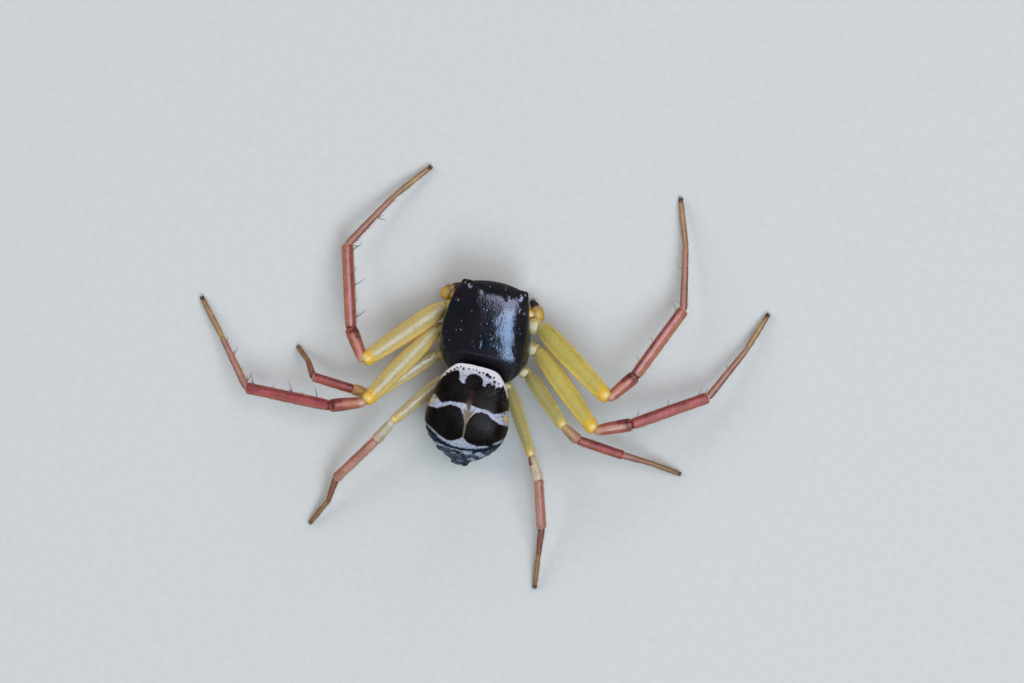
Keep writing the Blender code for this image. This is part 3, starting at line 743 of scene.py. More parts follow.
LIMB_SKINS = {
    ("hip", "right"): limb_skin(
        "pale hip", (0.64, 0.53, 0.24),
        (
            # A pale streak along the ridge: a painted highlight.
            ((0.78, 0.72, 0.54), -5, 16, 30, 0.1, 0.9, 0.1, 0.8),
            ((0.62, 0.44, 0.12), 0, 180, 0, 0.9, 1.1, 0.05, 0.5),
        ),
        rough=0.30, see_through=0.4, gloss=0.3,
    ),
    ("hip", "left"): limb_skin(
        "yellow hip", (0.62, 0.43, 0.08),
        (
            # A pale streak along the ridge: a painted highlight.
            ((0.66, 0.52, 0.20), -5, 16, 30, 0.1, 0.9, 0.1, 0.7),
            ((0.66, 0.42, 0.06), 0, 180, 0, 0.9, 1.1, 0.05, 0.5),
        ),
        rough=0.30, see_through=0.4, gloss=0.3,
    ),
    "yellow fold": limb_skin(
        "yellow joint fold", (0.70, 0.46, 0.10),
        # Paler along the ridge: a painted highlight.
        (((0.80, 0.66, 0.34), 0, 20, 30, 0.0, 1.0, 0.1, 0.7),),
        rough=0.30, see_through=0.5,
    ),
    "maroon fold": limb_skin(
        "maroon joint fold", (0.14, 0.022, 0.028),
        # Paler along the ridge: a painted highlight.
        (((0.40, 0.16, 0.12), 0, 10, 30, 0.0, 1.0, 0.1, 0.4),),
        rough=0.30, see_through=0.2,
    ),
    "cream fold": limb_skin(
        "cream joint fold", (0.60, 0.38, 0.22),
        # Paler along the ridge: a painted highlight.
        (((0.78, 0.62, 0.46), 0, 30, 30, 0.0, 1.0, 0.1, 0.7),),
        rough=0.30, see_through=0.4,
    ),
    # A thigh's second colour lightens its edges with painted light; its fifth is the ridge streak, partly a pale band,
    # partly a painted highlight.
    ("thigh", "right", 1): thigh_skin(
        "yellow thigh, matt ridge", (0.66, 0.49, 0.085), (0.95, 0.73, 0.15), (0.50, 0.41, 0.100),
        (0.80, 0.48, 0.03), (0.48, 0.44, 0.17), 0.25, 0.0,
    ),
    ("thigh", "left", 1): thigh_skin(
        "yellow thigh, pale ridge", (0.63, 0.44, 0.11), (0.80, 0.56, 0.16), (0.50, 0.41, 0.17),
        (0.80, 0.46, 0.02), (0.53, 0.50, 0.40), 0.90, 0.6,
    ),
    ("thigh", "right", 3): thigh_skin(
        "pale thigh, matt ridge", (0.50, 0.42, 0.13), (0.82, 0.68, 0.23), (0.38, 0.33, 0.12),
        (0.64, 0.50, 0.14), (0.42, 0.39, 0.20), 0.4, 0.0,
    ),
    ("thigh", "left", 3): thigh_skin(
        "pale thigh, pale ridge", (0.56, 0.45, 0.17), (0.70, 0.55, 0.22), (0.46, 0.40, 0.22),
        (0.64, 0.46, 0.12), (0.62, 0.61, 0.57), 0.90, 0.7,
    ),
    ("knee", 1): knee_skin(
        "dusky red knee", (0.42, 0.125, 0.085), (0.16, 0.020, 0.030), (0.60, 0.33, 0.23),
        (0.07, 0.006, 0.012), 0.8,
    ),
    ("knee", 3): knee_skin(
        "pale pink knee", (0.43, 0.24, 0.13), (0.40, 0.18, 0.10), (0.46, 0.33, 0.14),
        (0.50, 0.18, 0.13), 0.0,
    ),
    ("knee", "amber"): knee_skin(
        "amber knee", (0.70, 0.41, 0.14), (0.62, 0.30, 0.12), (0.72, 0.52, 0.17),
        (0.62, 0.26, 0.15), 0.0,
    ),
    ("knee", 4): knee_skin(
        "whitish knee", (0.58, 0.50, 0.34), (0.52, 0.36, 0.22), (0.60, 0.58, 0.50), (0.60, 0.42, 0.26), 0.1,
    ),
    ("knee", "clear"): knee_skin(
        "clear knee", (0.62, 0.56, 0.39), (0.54, 0.42, 0.26), (0.36, 0.30, 0.17),
        (0.60, 0.46, 0.32), 0.1,
        extra=((0.20, 0.030, 0.035), -50, 22, 20, 0.06, 0.34, 0.06, 0.9),
    ),
    ("shin", 1): shin_skin(
        "rose red shin", (0.42, 0.115, 0.095), (0.54, 0.21, 0.12), (0.62, 0.36, 0.38), (0.14, 0.014, 0.028),
    ),
    ("shin", 2): shin_skin(
        "crimson shin", (0.38, 0.075, 0.080), (0.42, 0.14, 0.10), (0.46, 0.15, 0.16), (0.13, 0.012, 0.024), 0.2,
    ),
    ("shin", 3): shin_skin(
        "dark rose shin", (0.35, 0.058, 0.065), (0.36, 0.08, 0.055), (0.42, 0.12, 0.13), (0.11, 0.010, 0.020), 0.2,
    ),
    ("shin", 4): shin_skin(
        "pink shin", (0.48, 0.21, 0.17), (0.52, 0.27, 0.18), (0.52, 0.29, 0.25), (0.30, 0.08, 0.07), 0.3,
    ),
    ("foot", 1): foot_skin(
        "red-brown foot", (0.36, 0.140, 0.095), (0.50, 0.28, 0.26), (0.05, 0.010, 0.016), (0.38, 0.20, 0.11),
    ),
    ("foot", 3): foot_skin(
        "dark red foot", (0.20, 0.052, 0.034), (0.27, 0.10, 0.075), (0.05, 0.008, 0.010), (0.22, 0.10, 0.04),
    ),
    ("toe", 1): foot_skin(
        "tan toe", (0.36, 0.215, 0.095), (0.46, 0.31, 0.18), (0.14, 0.06, 0.03), (0.11, 0.055, 0.03),
    ),
    ("toe", 3): foot_skin(
        "brown toe", (0.23, 0.125, 0.045), (0.29, 0.17, 0.08), (0.08, 0.035, 0.02), (0.08, 0.040, 0.02),
    ),
}
SKIN_OF_PAIR = {
    "thigh": {1: 1, 2: 1, 3: 3, 4: 3},
    "knee": {1: 1, 2: 1, 3: 3, 4: 4},
    "shin": {1: 1, 2: 2, 3: 3, 4: 4},
    "foot": {1: 1, 2: 1, 3: 3, 4: 3},
    "toe": {1: 1, 2: 1, 3: 3, 4: 3},
}
OWN_SKINS = {
    ("right", 3, "foot"): ("foot", 1), ("right", 4, "knee"): ("knee", "clear"),
    ("left", 3, "knee"): ("knee", "amber"),
}
RECORD_SLOTS = {
    "hip": "pale_hip", "thigh": {1: "yellow_thigh", 2: "yellow_thigh", 3: "pale_thigh", 4: "pale_thigh"},
    "knee": {1: "red_knee", 2: "red_knee", 3: "pale_knee", 4: "pale_knee"},
    "shin": "red_shin", "foot": "brown_foot",
}


def black_hair_skin():
    """Fine dark bristles, browner where they are thin."""
    material, tree, surface = shader("dark bristle", roughness=0.42, specular_ior_level=0.4)
    cloud = noise(tree, millimetres(tree), 6.0)
    colour = mixed(tree, ramped(tree, cloud, 0.35, 0.65), (0.012, 0.008, 0.006), (0.045, 0.025, 0.018))
    tree.links.new(colour, surface.inputs["Base Color"])
    return material


def claw_skin():
    """Black claws, brown towards their roots."""
    material, tree, surface = shader("black claw", roughness=0.22, specular_ior_level=0.5)
    cloud = noise(tree, millimetres(tree), 12.0, 3.0)
    colour = mixed(tree, ramped(tree, cloud, 0.35, 0.65), (0.010, 0.006, 0.005), (0.040, 0.018, 0.012))
    tree.links.new(colour, surface.inputs["Base Color"])
    relief(tree, surface, cloud, 0.003)
    return material


def pale_hair_skin():
    """Thin hairs of the limbs, straw yellow to reddish brown."""
    material, tree, surface = shader("pale fine hair", roughness=0.5, specular_ior_level=0.3)
    cloud = noise(tree, millimetres(tree), 3.0)
    colour = mixed(tree, ramped(tree, cloud, 0.35, 0.65), (0.62, 0.44, 0.20), (0.40, 0.20, 0.12))
    tree.links.new(colour, surface.inputs["Base Color"])
    return material


BRISTLE_SKIN = black_hair_skin()
PALE_HAIR_SKIN = pale_hair_skin()
CLAW_SKIN = claw_skin()


def bristle_form():
    """One tapering bristle along +Z, of length and half width 1, as points and faces."""
    form = ((0.0, 1.0, 0.0), (0.3, 0.9, 0.0), (0.55, 0.72, 0.0), (0.8, 0.45, 0.0), (1.0, 0.10, 0.0))
    piece = turned("bristle", form, 1.0, 1.0, sides=4, levels=0)
    points = read_points(piece)
    faces = [tuple(face.vertices) for face in piece.data.polygons]
    bpy.data.objects.remove(piece)
    return points, faces


BRISTLE_POINTS, BRISTLE_FACES = bristle_form()
PATCH = 0.0015
HAIR_CLEARANCE = 0.004


def bristles(name, growths, skin, slot):
    """One mesh of many bristles, each with a small patch of the coat's map to itself.

    A growth is rows of roots, of the ways the hairs start and of the ways they bend, their
    lengths, half widths and curls (shares of the length), and their places on the coat's map.
    """
    roots, ways, bends, lengths, widths, curls, patches = (
        np.concatenate(rows) for rows in zip(*growths)
    )
    roots[:, 2] = np.maximum(roots[:, 2], widths + HAIR_CLEARANCE)
    across = np.cross(ways, bends)
    across /= np.linalg.norm(across, axis=1, keepdims=True)
    x, y, share = BRISTLE_POINTS.T
    rows = roots[:, None] + ways[:, None] * (lengths[:, None] * share)[..., None]
    rows = rows + bends[:, None] * ((lengths * curls)[:, None] * share**2)[..., None]
    rows = rows + across[:, None] * (widths[:, None] * x)[..., None]
    rows = rows + bends[:, None] * (widths[:, None] * y)[..., None]
    rows[..., 2] = np.maximum(rows[..., 2], HAIR_CLEARANCE * (1.0 + share + 0.3 * x))
    count = len(BRISTLE_POINTS)
    starts = count * np.arange(len(roots))
    faces = [tuple(corner + start for corner in face) for start in starts.tolist() for face in BRISTLE_FACES]
    mesh = bpy.data.meshes.new(name)
    mesh.from_pydata(rows.reshape(-1, 3), [], faces)
    piece = bpy.data.objects.new(name, mesh)
    bpy.context.scene.collection.objects.link(piece)
    coat_map = mesh.uv_layers.new(name="OFBake")
    corners = np.empty(len(mesh.loops), dtype=np.int64)
    mesh.loops.foreach_get("vertex_index", corners)
    own = np.column_stack((x, y))[corners % count] * PATCH * 0.5
    own[:, 1] += (share[corners % count] - 0.5) * PATCH
    coat_map.data.foreach_set("uv", (patches[corners // count] + own).ravel())
    return finished(piece, skin, slot)


def growth(stretch, rng, shares, turns, slopes, lengths, widths, curls, row, rows, sway=0.0):
    """Hairs on a stretch: they rise at a slope in degrees and bend back towards the skin.

    The stretch has its own row of the coat's map, out of so many rows.
    """
    count = len(shares)
    roots, outs = stretch.skin_at(shares, turns)
    along = np.array(stretch.along) + np.array(stretch.across) * rng.uniform(-sway, sway, (count, 1))
    along /= np.linalg.norm(along, axis=1, keepdims=True)
    lifts = np.radians(slopes)[:, None] * np.ones((count, 1))
    ways = along * np.cos(lifts) + outs * np.sin(lifts)
    bends = along * np.sin(lifts) - outs * np.cos(lifts)
    ways /= np.linalg.norm(ways, axis=1, keepdims=True)
    bends -= ways * np.sum(ways * bends, axis=1, keepdims=True)
    widths = widths * np.ones(count)
    round_share = 0.02 + 0.96 * ((turns / (2 * math.pi)) % 1.0)
    long_share = (row + 0.03 + 0.94 * np.clip(shares, 0.0, 1.0)) / rows
    patches = np.column_stack((round_share, long_share))
    return roots - outs * widths[:, None], ways, bends, lengths * np.ones(count), widths, curls * np.ones(count), patches


def scattered(stretch, rng, count, shares, slopes, lengths, width, curl, row, rows, sway=0.0):
    """A random growth all round a stretch, each value drawn between two limits."""
    return growth(
        stretch, rng, rng.uniform(*shares, count), rng.uniform(-math.pi, math.pi, count),
        rng.uniform(*slopes, count), rng.uniform(*lengths, count), width, curl, row, rows, sway,
    )


def leg_points(side_name, number):
    """The places of a leg's joints, from the root of the thigh to the tip of the toe."""
    side = SIDES[side_name]
    points = [at(*THIGH_ROOTS[number], side)]
    for run, heading, height in POSE[side_name, number]:
        turn = math.radians(heading)
        point = points[-1] + at(run * math.sin(turn), run * math.cos(turn), 0.0, side)
        point.z = height
        points.append(point)
    return points


LEG_FORMS = (
    ("thigh", THIGH_FORM, "femur"), ("knee", KNEE_FORM, "patella"), ("shin", SHIN_FORM, "tibia"),
    ("foot", FOOT_FORM, "foot"), ("toe", TOE_FORM, "foot"),
)
FOLDS = {
    "yellow fold": (("ring", "thigh"), ("thigh", "knee")),
    "maroon fold": (("knee", "shin"),),
    "cream fold": (("shin", "foot"), ("foot", "toe")),
}
OVERLAP = 0.03
TOE_RISE = 0.03


def leg_stretches(side_name, number):
    """The leg's stretches, each a little longer than from joint to joint."""
    side = SIDES[side_name]
    points = leg_points(side_name, number)
    points[-1] = points[-1] + Vector((0.0, 0.0, TOE_RISE))
    stretches = {}
    hip_start, hip_end = (at(*place, side) for place in HIPS[number])
    stretches["hip"] = Stretch(hip_start, hip_end, 0.25, HIP_FORM, side)
    root_way = (points[0] - hip_end).normalized()
    stretches["ring"] = Stretch(
        hip_end - root_way * 0.04, points[0] + root_way * 0.04, LEG_WIDTHS[number][0] * 0.80,
        RING_FORM, side,
    )
    for (name, form, node), start, end, half in zip(LEG_FORMS, points, points[1:], LEG_WIDTHS[number]):
        way = (end - start).normalized()
        stretches[name] = Stretch(start - way * OVERLAP, end + way * OVERLAP, half, form, side)
    return stretches


def build_joint(name, near, far):
    """The folded membrane between two stretches."""
    joint = (near.end + far.start) / 2
    half = min(near.half * near.form[-1][1], far.half * far.form[1][1]) * 1.05
    reach = half * 0.9
    fold = Stretch(joint - near.along * reach, joint + far.along * reach, half, FOLD_FORM, near.side)
    return fold.build(name, sides=12, levels=2)


def build_claws(name, toe):
    """Two small hooked claws at the tip of a toe."""
    pieces = []
    for way in (-1.0, 1.0):
        root = toe.end - toe.along * 0.03 + toe.across * (0.035 * way) + toe.ridge * 0.02
        tip = root + toe.along * 0.13 + toe.across * (0.02 * way) - toe.ridge * 0.05
        hook = Stretch(root, tip, 0.022, HOOK_FORM, toe.side)
        pieces.append(hook.build("claw", sides=8, levels=1))
    return joined(name, pieces)


LENGTHWISE = ("thigh", "knee", "shin", "foot", "toe")
HAIR_COUNTS = {"thigh": 330, "knee": 150, "shin": 420, "foot": 330, "toe": 360}
SHIN_SPINES = (0.16, 0.33, 0.50, 0.70, 0.92)
FOOT_SPINES = (0.10, 0.33, 0.60, 0.86)


def fine_hairs(stretches, rng):
    """Short, thin, pale hairs along the whole leg."""
    for row, name in enumerate(LENGTHWISE):
        long = 0.085 if name in ("thigh", "knee") else 0.11
        yield scattered(
            stretches[name], rng, HAIR_COUNTS[name], (0.02, 0.98), (22, 42), (0.6 * long, long),
            0.0032, 0.25, row, len(LENGTHWISE), sway=0.2,
        )


def dark_spines(stretches, side_name, number, rng):
    """Dark spines under the shin and foot of the long legs, bristles on the thigh, the claw tuft."""
    rows = len(LENGTHWISE)
    long, thick = (1.0, 0.014) if side_name == "left" else (0.55, 0.010)
    shares = np.linspace(0.14, 0.88, 7) + rng.uniform(-0.03, 0.03, 7)
    turns = rng.uniform(-0.9, 0.9, 7)
    yield growth(stretches["thigh"], rng, shares, turns, 38.0 * np.ones(7), 0.13, 0.006, 0.2, 0, rows)
    if number <= 2:
        for row, name, places, length in ((2, "shin", SHIN_SPINES, 0.48 * long), (3, "foot", FOOT_SPINES, 0.36 * long)):
            for turn in (138, -150):
                shares = np.array(places) + rng.uniform(-0.04, 0.04, len(places))
                turns = np.radians(turn + rng.uniform(-8, 8, len(places)))
                slopes = rng.uniform(34, 46, len(places))
                yield growth(stretches[name], rng, shares, turns, slopes, 0.8 * length, thick, 0.10, row, rows)
            shares = np.array(places[::2]) + rng.uniform(-0.05, 0.05, len(places[::2]))
            turns = np.radians(96 + rng.uniform(-8, 8, len(shares)))
            slopes = rng.uniform(54, 64, len(shares))
            yield growth(stretches[name], rng, shares, turns, slopes, length, thick, 0.06, row, rows)
    yield scattered(
        stretches["toe"], rng, 70, (0.94, 0.99), (2, 26), (0.06, 0.12), 0.006, 0.15, 4, rows, sway=0.25,
    )


def build_leg(side_name, number):
    """A leg from its hip to its claws, in stretches, with membranes in the joints."""
    leg = f"leg_{number}_{side_name}"
    stretches = leg_stretches(side_name, number)
    hip = joined(f"{leg}_hip", [stretches["hip"].build("hip"), stretches["ring"].build("ring")])
    finished(hip, LIMB_SKINS["hip", side_name], "pale_hip", f"{leg}_coxa")
    for name, form, node in LEG_FORMS:
        piece = stretches[name].build(f"{leg}_{name}", sides=16 if name == "thigh" else 14)
        pair = SKIN_OF_PAIR[name][number]
        if name == "thigh":
            skin = LIMB_SKINS[name, side_name, pair]
        elif (side_name, number, name) in OWN_SKINS:
            skin = LIMB_SKINS[OWN_SKINS[side_name, number, name]]
        else:
            skin = LIMB_SKINS[name, pair]
        slot = RECORD_SLOTS["foot" if name == "toe" else name]
        finished(piece, skin, slot if isinstance(slot, str) else slot[number], f"{leg}_{node}")
    for kind, joints in FOLDS.items():
        folds = [build_joint("fold", stretches[near], stretches[far]) for near, far in joints]
        piece = joined(f"{leg}_{kind.replace(' ', '_')}s", folds)
        finished(piece, LIMB_SKINS[kind if number < 4 else kind.replace("maroon", "cream")], "pale_hip")
    finished(build_claws(f"{leg}_claws", stretches["toe"]), CLAW_SKIN, "brown_foot")
    rng = np.random.default_rng(10 * number + (side_name == "left"))
    bristles(f"{leg}_fine_hairs", list(fine_hairs(stretches, rng)), PALE_HAIR_SKIN, "brown_foot")
    bristles(f"{leg}_spines", list(dark_spines(stretches, side_name, number, rng)), BRISTLE_SKIN, "brown_foot")


def shell_skin():
    """The glossy black head shield: fine grains, bright granules whose pale specks are partly pale hair bases and
    partly painted glints, and an olive lower edge that is a painted reflection.
    """
    material, tree, surface = shader(
        "glossy black shell", specular_ior_level=1.0, specular_tint=(0.58, 0.76, 1.0, 1.0),
    )
    grain = add(tree, "ShaderNodeGroup", {"Grain size": 0.052, "Pore size": 0.22}, node_tree=SHELL_GRAIN)
    colour = mixed(
        tree, ramped(tree, grain.outputs["Cloud"], 0.35, 0.7), (0.002, 0.0016, 0.002), (0.010, 0.004, 0.006),
    )
    # An olive tint on the low rear edge: a painted reflection.
    edge = add(tree, "ShaderNodeAttribute", attribute_name="edge").outputs["Fac"]
    colour = mixed(tree, edge, colour, (0.034, 0.032, 0.012))
    place = millimetres(tree)
    # Pale specks: partly pale hair bases, partly painted glints.
    pale_specks_and_glints = ramped(tree, cells(tree, place, 3.1), 0.055, 0.090, 1.0, 0.0)
    pale_specks_and_glints = summed(tree, "MULTIPLY", pale_specks_and_glints, ramped(tree, noise(tree, place, 1.3), 0.40, 0.54))
    colour = mixed(tree, pale_specks_and_glints, colour, (0.26, 0.29, 0.36))
    tree.links.new(colour, surface.inputs["Base Color"])
    gloss = ramped(tree, noise(tree, place, 22.0, 4.0, 0.7), 0.35, 0.7, 0.09, 0.23)
    wall = add(tree, "ShaderNodeAttribute", attribute_name="wall").outputs["Fac"]
    rough = summed(tree, "MULTIPLY_ADD", wall, 0.14, gloss)
    tree.links.new(rough, surface.inputs["Roughness"])
    granules = ramped(tree, cells(tree, place, 2.6), 0.06, 0.14, 5.0, 0.0)
    waves = summed(tree, "MULTIPLY_ADD", noise(tree, place, 5.0, 3.0), 1.4, grain.outputs["Height"])
    relief(tree, surface, summed(tree, "ADD", waves, granules), 0.0045)
    return material


def underside_skin(name, low, high, rough):
    """The satin brown shell of the jaws, mouthparts, breastplate and tail."""
    material, tree, surface = shader(name, specular_ior_level=0.5)
    grain = add(tree, "ShaderNodeGroup", {"Grain size": 0.05, "Pore size": 0.20}, node_tree=SHELL_GRAIN)
    colour = mixed(tree, ramped(tree, grain.outputs["Cloud"], 0.35, 0.65), low, high)
    colour = mixed(tree, grain.outputs["Pores"], colour, tuple(value * 0.4 for value in low))
    tree.links.new(colour, surface.inputs["Base Color"])
    tree.links.new(ramped(tree, grain.outputs["Cloud"], 0.3, 0.7, rough, rough + 0.14), surface.inputs["Roughness"])
    relief(tree, surface, grain.outputs["Height"], 0.008)
    return material


def eye_skin():
    """A polished black lens with a brown depth to it."""
    material, tree, surface = shader("polished lens", roughness=0.06, coat_weight=1.0, coat_roughness=0.03)
    cloud = noise(tree, millimetres(tree), 14.0, 3.0)
    colour = mixed(tree, ramped(tree, cloud, 0.35, 0.65), (0.003, 0.002, 0.003), (0.020, 0.008, 0.006))
    tree.links.new(colour, surface.inputs["Base Color"])
    relief(tree, surface, cloud, 0.0008)
    return material


SHELL_SKIN = shell_skin()
JAW_SKIN = underside_skin("dark jaw shell", (0.010, 0.007, 0.006), (0.050, 0.024, 0.014), 0.26)
BREAST_SKIN = underside_skin("brown breastplate", (0.020, 0.012, 0.008), (0.075, 0.042, 0.022), 0.30)
MOUTH_SKIN = underside_skin("brown mouthpart", (0.060, 0.036, 0.016), (0.150, 0.090, 0.040), 0.36)
TAIL_SKIN = underside_skin("blue-grey tail skin", (0.010, 0.013, 0.020), (0.150, 0.160, 0.220), 0.46)
EYE_SKIN = eye_skin()


def abdomen_skin():
    """Satin black back with white bands, a brown heart mark and a mottled blue-grey rear."""
    material, tree, surface = shader("banded back", specular_ior_level=0.18)
    place = millimetres(tree)
    grain = add(tree, "ShaderNodeGroup", {"Grain size": 0.05, "Pore size": 0.15}, node_tree=SHELL_GRAIN)
    fray = summed(tree, "SUBTRACT", noise(tree, place, 16.0, 4.0, 0.65), 0.5)
    fleck = cells(tree, place, 17.0)

    def field(name):
        return add(tree, "ShaderNodeAttribute", attribute_name=name).outputs["Fac"]

    def frayed(name, amount, soft):
        value = summed(tree, "MULTIPLY_ADD", fray, amount, field(name))
        return ramped(tree, value, -soft, soft)

    colour = mixed(
        tree, ramped(tree, noise(tree, place, 3.0, 5.0, 0.7), 0.40, 0.68),
        (0.0012, 0.0009, 0.0012), (0.0088, 0.0056, 0.0046),
    )
    fine = ramped(tree, noise(tree, place, 34.0, 4.0, 0.7), 0.50, 0.72)
    colour = mixed(tree, summed(tree, "MULTIPLY", fine, 0.09), colour, (0.10, 0.075, 0.07))
    rear = mixed(
        tree, ramped(tree, noise(tree, place, 7.0, 4.0, 0.65), 0.42, 0.62),
        (0.004, 0.009, 0.014), (0.105, 0.120, 0.175),
    )
    colour = mixed(tree, frayed("rear", 0.16, 0.10), colour, rear)
    colour = mixed(tree, frayed("teal", 0.05, 0.03), colour, (0.004, 0.016, 0.022))
    white = mixed(
        tree, ramped(tree, noise(tree, place, 10.0, 4.0, 0.6), 0.35, 0.65),
        (0.27, 0.30, 0.39), (0.50, 0.52, 0.62),
    )
    white = mixed(tree, frayed("bright", 0.10, 0.10), white, (0.78, 0.76, 0.80))
    white = mixed(tree, ramped(tree, fleck, 0.05, 0.20, 0.35, 0.0), white, (0.26, 0.27, 0.38))
    # Pale specks on the right front: partly pale grains, partly painted glints on the side the light comes from.
    pale_specks_and_glints = ramped(tree, cells(tree, place, 12.0), 0.13, 0.24, 1.0, 0.0)
    pale_specks_and_glints = summed(tree, "MULTIPLY", pale_specks_and_glints, frayed("pale_specks_and_glints", 0.20, 0.14))
    colour = mixed(tree, summed(tree, "MULTIPLY", pale_specks_and_glints, 0.6), colour, (0.34, 0.34, 0.44))
    white_mask = frayed("white", 0.125, 0.026)
    colour = mixed(tree, white_mask, colour, white)
    tan = mixed(tree, ramped(tree, fine, 0.0, 1.0), (0.22, 0.17, 0.11), (0.40, 0.33, 0.24))
    colour = mixed(tree, frayed("tan", 0.06, 0.04), colour, tan)
    colour = mixed(tree, frayed("yellow", 0.10, 0.05), colour, (0.76, 0.50, 0.14))
    colour = mixed(tree, frayed("brown", 0.14, 0.07), colour, mixed(
        tree, ramped(tree, field("crossing"), 0.0, 1.0), (0.024, 0.010, 0.007), (0.105, 0.054, 0.030),
    ))
    colour = mixed(tree, frayed("dots", 0.13, 0.016), colour, (0.014, 0.004, 0.008))
    tree.links.new(colour, surface.inputs["Base Color"])
    rough = ramped(tree, grain.outputs["Cloud"], 0.3, 0.7, 0.24, 0.36)
    tree.links.new(rough, surface.inputs["Roughness"])
    height = summed(tree, "MULTIPLY_ADD", noise(tree, place, 26.0, 4.0, 0.7), 1.2, grain.outputs["Height"])
    relief(tree, surface, height, 0.006)
    return material


def palp_skin():
    marks = (
        ((0.74, 0.42, 0.03), 0, 180, 0, -0.1, 0.45, 0.2, 0.7),
        ((0.66, 0.28, 0.05), 60, 40, 40, 0.3, 1.1, 0.2, 0.5),
        # A pale streak along the ridge: a painted highlight.
        ((0.90, 0.66, 0.34), 0, 10, 26, 0.2, 0.9, 0.2, 0.4),
    )
    return limb_skin("amber palp", (0.70, 0.36, 0.030), marks, rough=0.20, see_through=0.5, depth=0.002)


def palp_tip_skin():
    marks = (((0.30, 0.14, 0.04), 0, 180, 0, -0.1, 0.18, 0.15, 0.9),)
    return limb_skin("dark palp tip", (0.05, 0.03, 0.02), marks, rough=0.4, see_through=0.1)


def put_eye_mounds(piece):
    """Swell the shield softly over the mounds that the side eyes stand on."""
    heart = np.array(at(0.0, SHIELD_CENTRE, 1.5))
    blend = 0.10
    places = read_points(piece) - heart
    reach = np.linalg.norm(places, axis=1)
    ways = places / np.maximum(reach, 1e-6)[:, None]
    for side in (1.0, -1.0):
        for outward, forward, height, radius in EYE_MOUNDS:
            middle = np.array(at(outward, forward, height, side)) - heart
            nearest = ways @ middle
            inside = nearest**2 - middle @ middle + radius**2
            mound = np.where(inside > 0, nearest + np.sqrt(np.maximum(inside, 0.0)), -1.0)
            share = np.clip(0.5 + 0.5 * (mound - reach) / blend, 0.0, 1.0)
            reach = reach * (1 - share) + mound * share + blend * share * (1 - share)
    write_points(piece, heart + ways * reach[:, None])


def dent(piece, depth):
    """Move each point of the skin inwards by its depth."""
    write_points(piece, read_points(piece) - read_normals(piece) * np.asarray(depth)[:, None])


def distance_to(places, centre):
    return np.linalg.norm(places - np.array(centre), axis=1)


def build_shield():
    """The tall black head shield, with eye mounds, sockets, a rim and shallow grooves."""
    piece, share_out, share_up = domed(
        "shield", SHIELD_EDGE, SHIELD_CENTRE, ((-1.2, SHIELD_FLOOR), (3.0, SHIELD_FLOOR)),
        SHIELD_ROOF, SHIELD_PROFILE, 300, 190,
    )
    places = read_points(piece)
    ahead = step_up(-places[:, 1], 1.2, 2.3)
    places[:, 0] *= 1.0 - UNDERCUT * ahead * (1.0 - step_up(share_up, 0.0, 0.75))
    fuller = step_up(-places[:, 1], 0.3, 1.2) * step_up(places[:, 1], -2.8, -2.3) * step_up(places[:, 0], 0.8, 1.2)
    places[:, 0] += LEFT_FULLNESS * fuller * (1.0 - step_up(share_up, 0.70, 0.84))
    write_points(piece, places)
    put_eye_mounds(piece)
    places = read_points(piece)
    outward, forward, height = np.abs(places[:, 0]), -places[:, 1], places[:, 2]
    depth = np.zeros(len(places))
    for where in EYES.values():
        *centre, radius = where
        for side in (1.0, -1.0):
            gap = distance_to(places, at(*centre, side)) - radius
            depth += 0.012 * np.exp(-((gap - 0.010) / 0.020) ** 2) - 0.006 * np.exp(-((gap - 0.06) / 0.03) ** 2)
    on_top = step_up(share_up, 0.72, 0.95)
    pit = np.exp(-((outward / 0.06) ** 2 + ((forward - 0.50) / 0.20) ** 2))
    depth += 0.012 * pit * on_top
    for angle, strength in ((62, 0.016), (28, 0.020), (-8, 0.018), (-42, 0.014)):
        way = math.radians(angle)
        along = outward * math.cos(way) + (forward - 0.65) * math.sin(way)
        off = -outward * math.sin(way) + (forward - 0.65) * math.cos(way)
        depth += 0.3 * strength * np.exp(-((off / 0.12) ** 2)) * step_up(along, 0.15, 0.5) * (share_up > 0.3)
    groove = np.exp(-(((share_up - 0.12) / 0.03) ** 2)) * (share_out > 0.9)
    depth += 0.008 * groove
    rng = np.random.default_rng(5)
    for turn in rng.uniform(0, 2 * math.pi, 26):
        lift = rng.uniform(0.3, 0.95)
        spot = at(1.3 * math.sin(turn), SHIELD_CENTRE + 1.4 * math.cos(turn), 1.1 + 1.6 * lift)
        nearest = places[np.argmin(distance_to(places, spot))]
        depth += 0.012 * np.exp(-((distance_to(places, nearest) / 0.035) ** 2))
    dent(piece, depth)
    # The low rear edge, kept for a painted olive reflection.
    low = step_up(-share_up, -0.42, -0.10) * step_up(-forward, -2.6, -1.2)
    write_values(piece, "edge", low * (share_out > 0.5))
    write_values(piece, "wall", step_up(-read_normals(piece)[:, 2], -0.86, -0.55))
    finished(piece, SHELL_SKIN, "black_shell", "carapace")


def build_eyes():
    """Eight lenses, each a ball drawn out a little and flattened where it sits."""
    for name, (outward, forward, height, radius) in EYES.items():
        for side_name, side in SIDES.items():
            middle = at(outward, forward, height, side)
            out = (middle - at(0.0, SHIELD_CENTRE, 1.7)).normalized()
            lens = Stretch(middle - out * radius, middle + out * radius * 0.98, radius, (
                (0.0, 0.62, 0.0), (0.12, 0.80, 0.0), (0.35, 0.98, 0.0), (0.58, 1.0, 0.0), (0.76, 0.86, 0.0),
                (0.90, 0.60, 0.0), (0.975, 0.30, 0.0), (1.0, 0.10, 0.0),
            ), side)
            piece = lens.build(f"lens_{name}_{side_name}", sides=20, levels=2)
            finished(piece, EYE_SKIN, "eye_lens", f"eye_{name}_{side_name}")


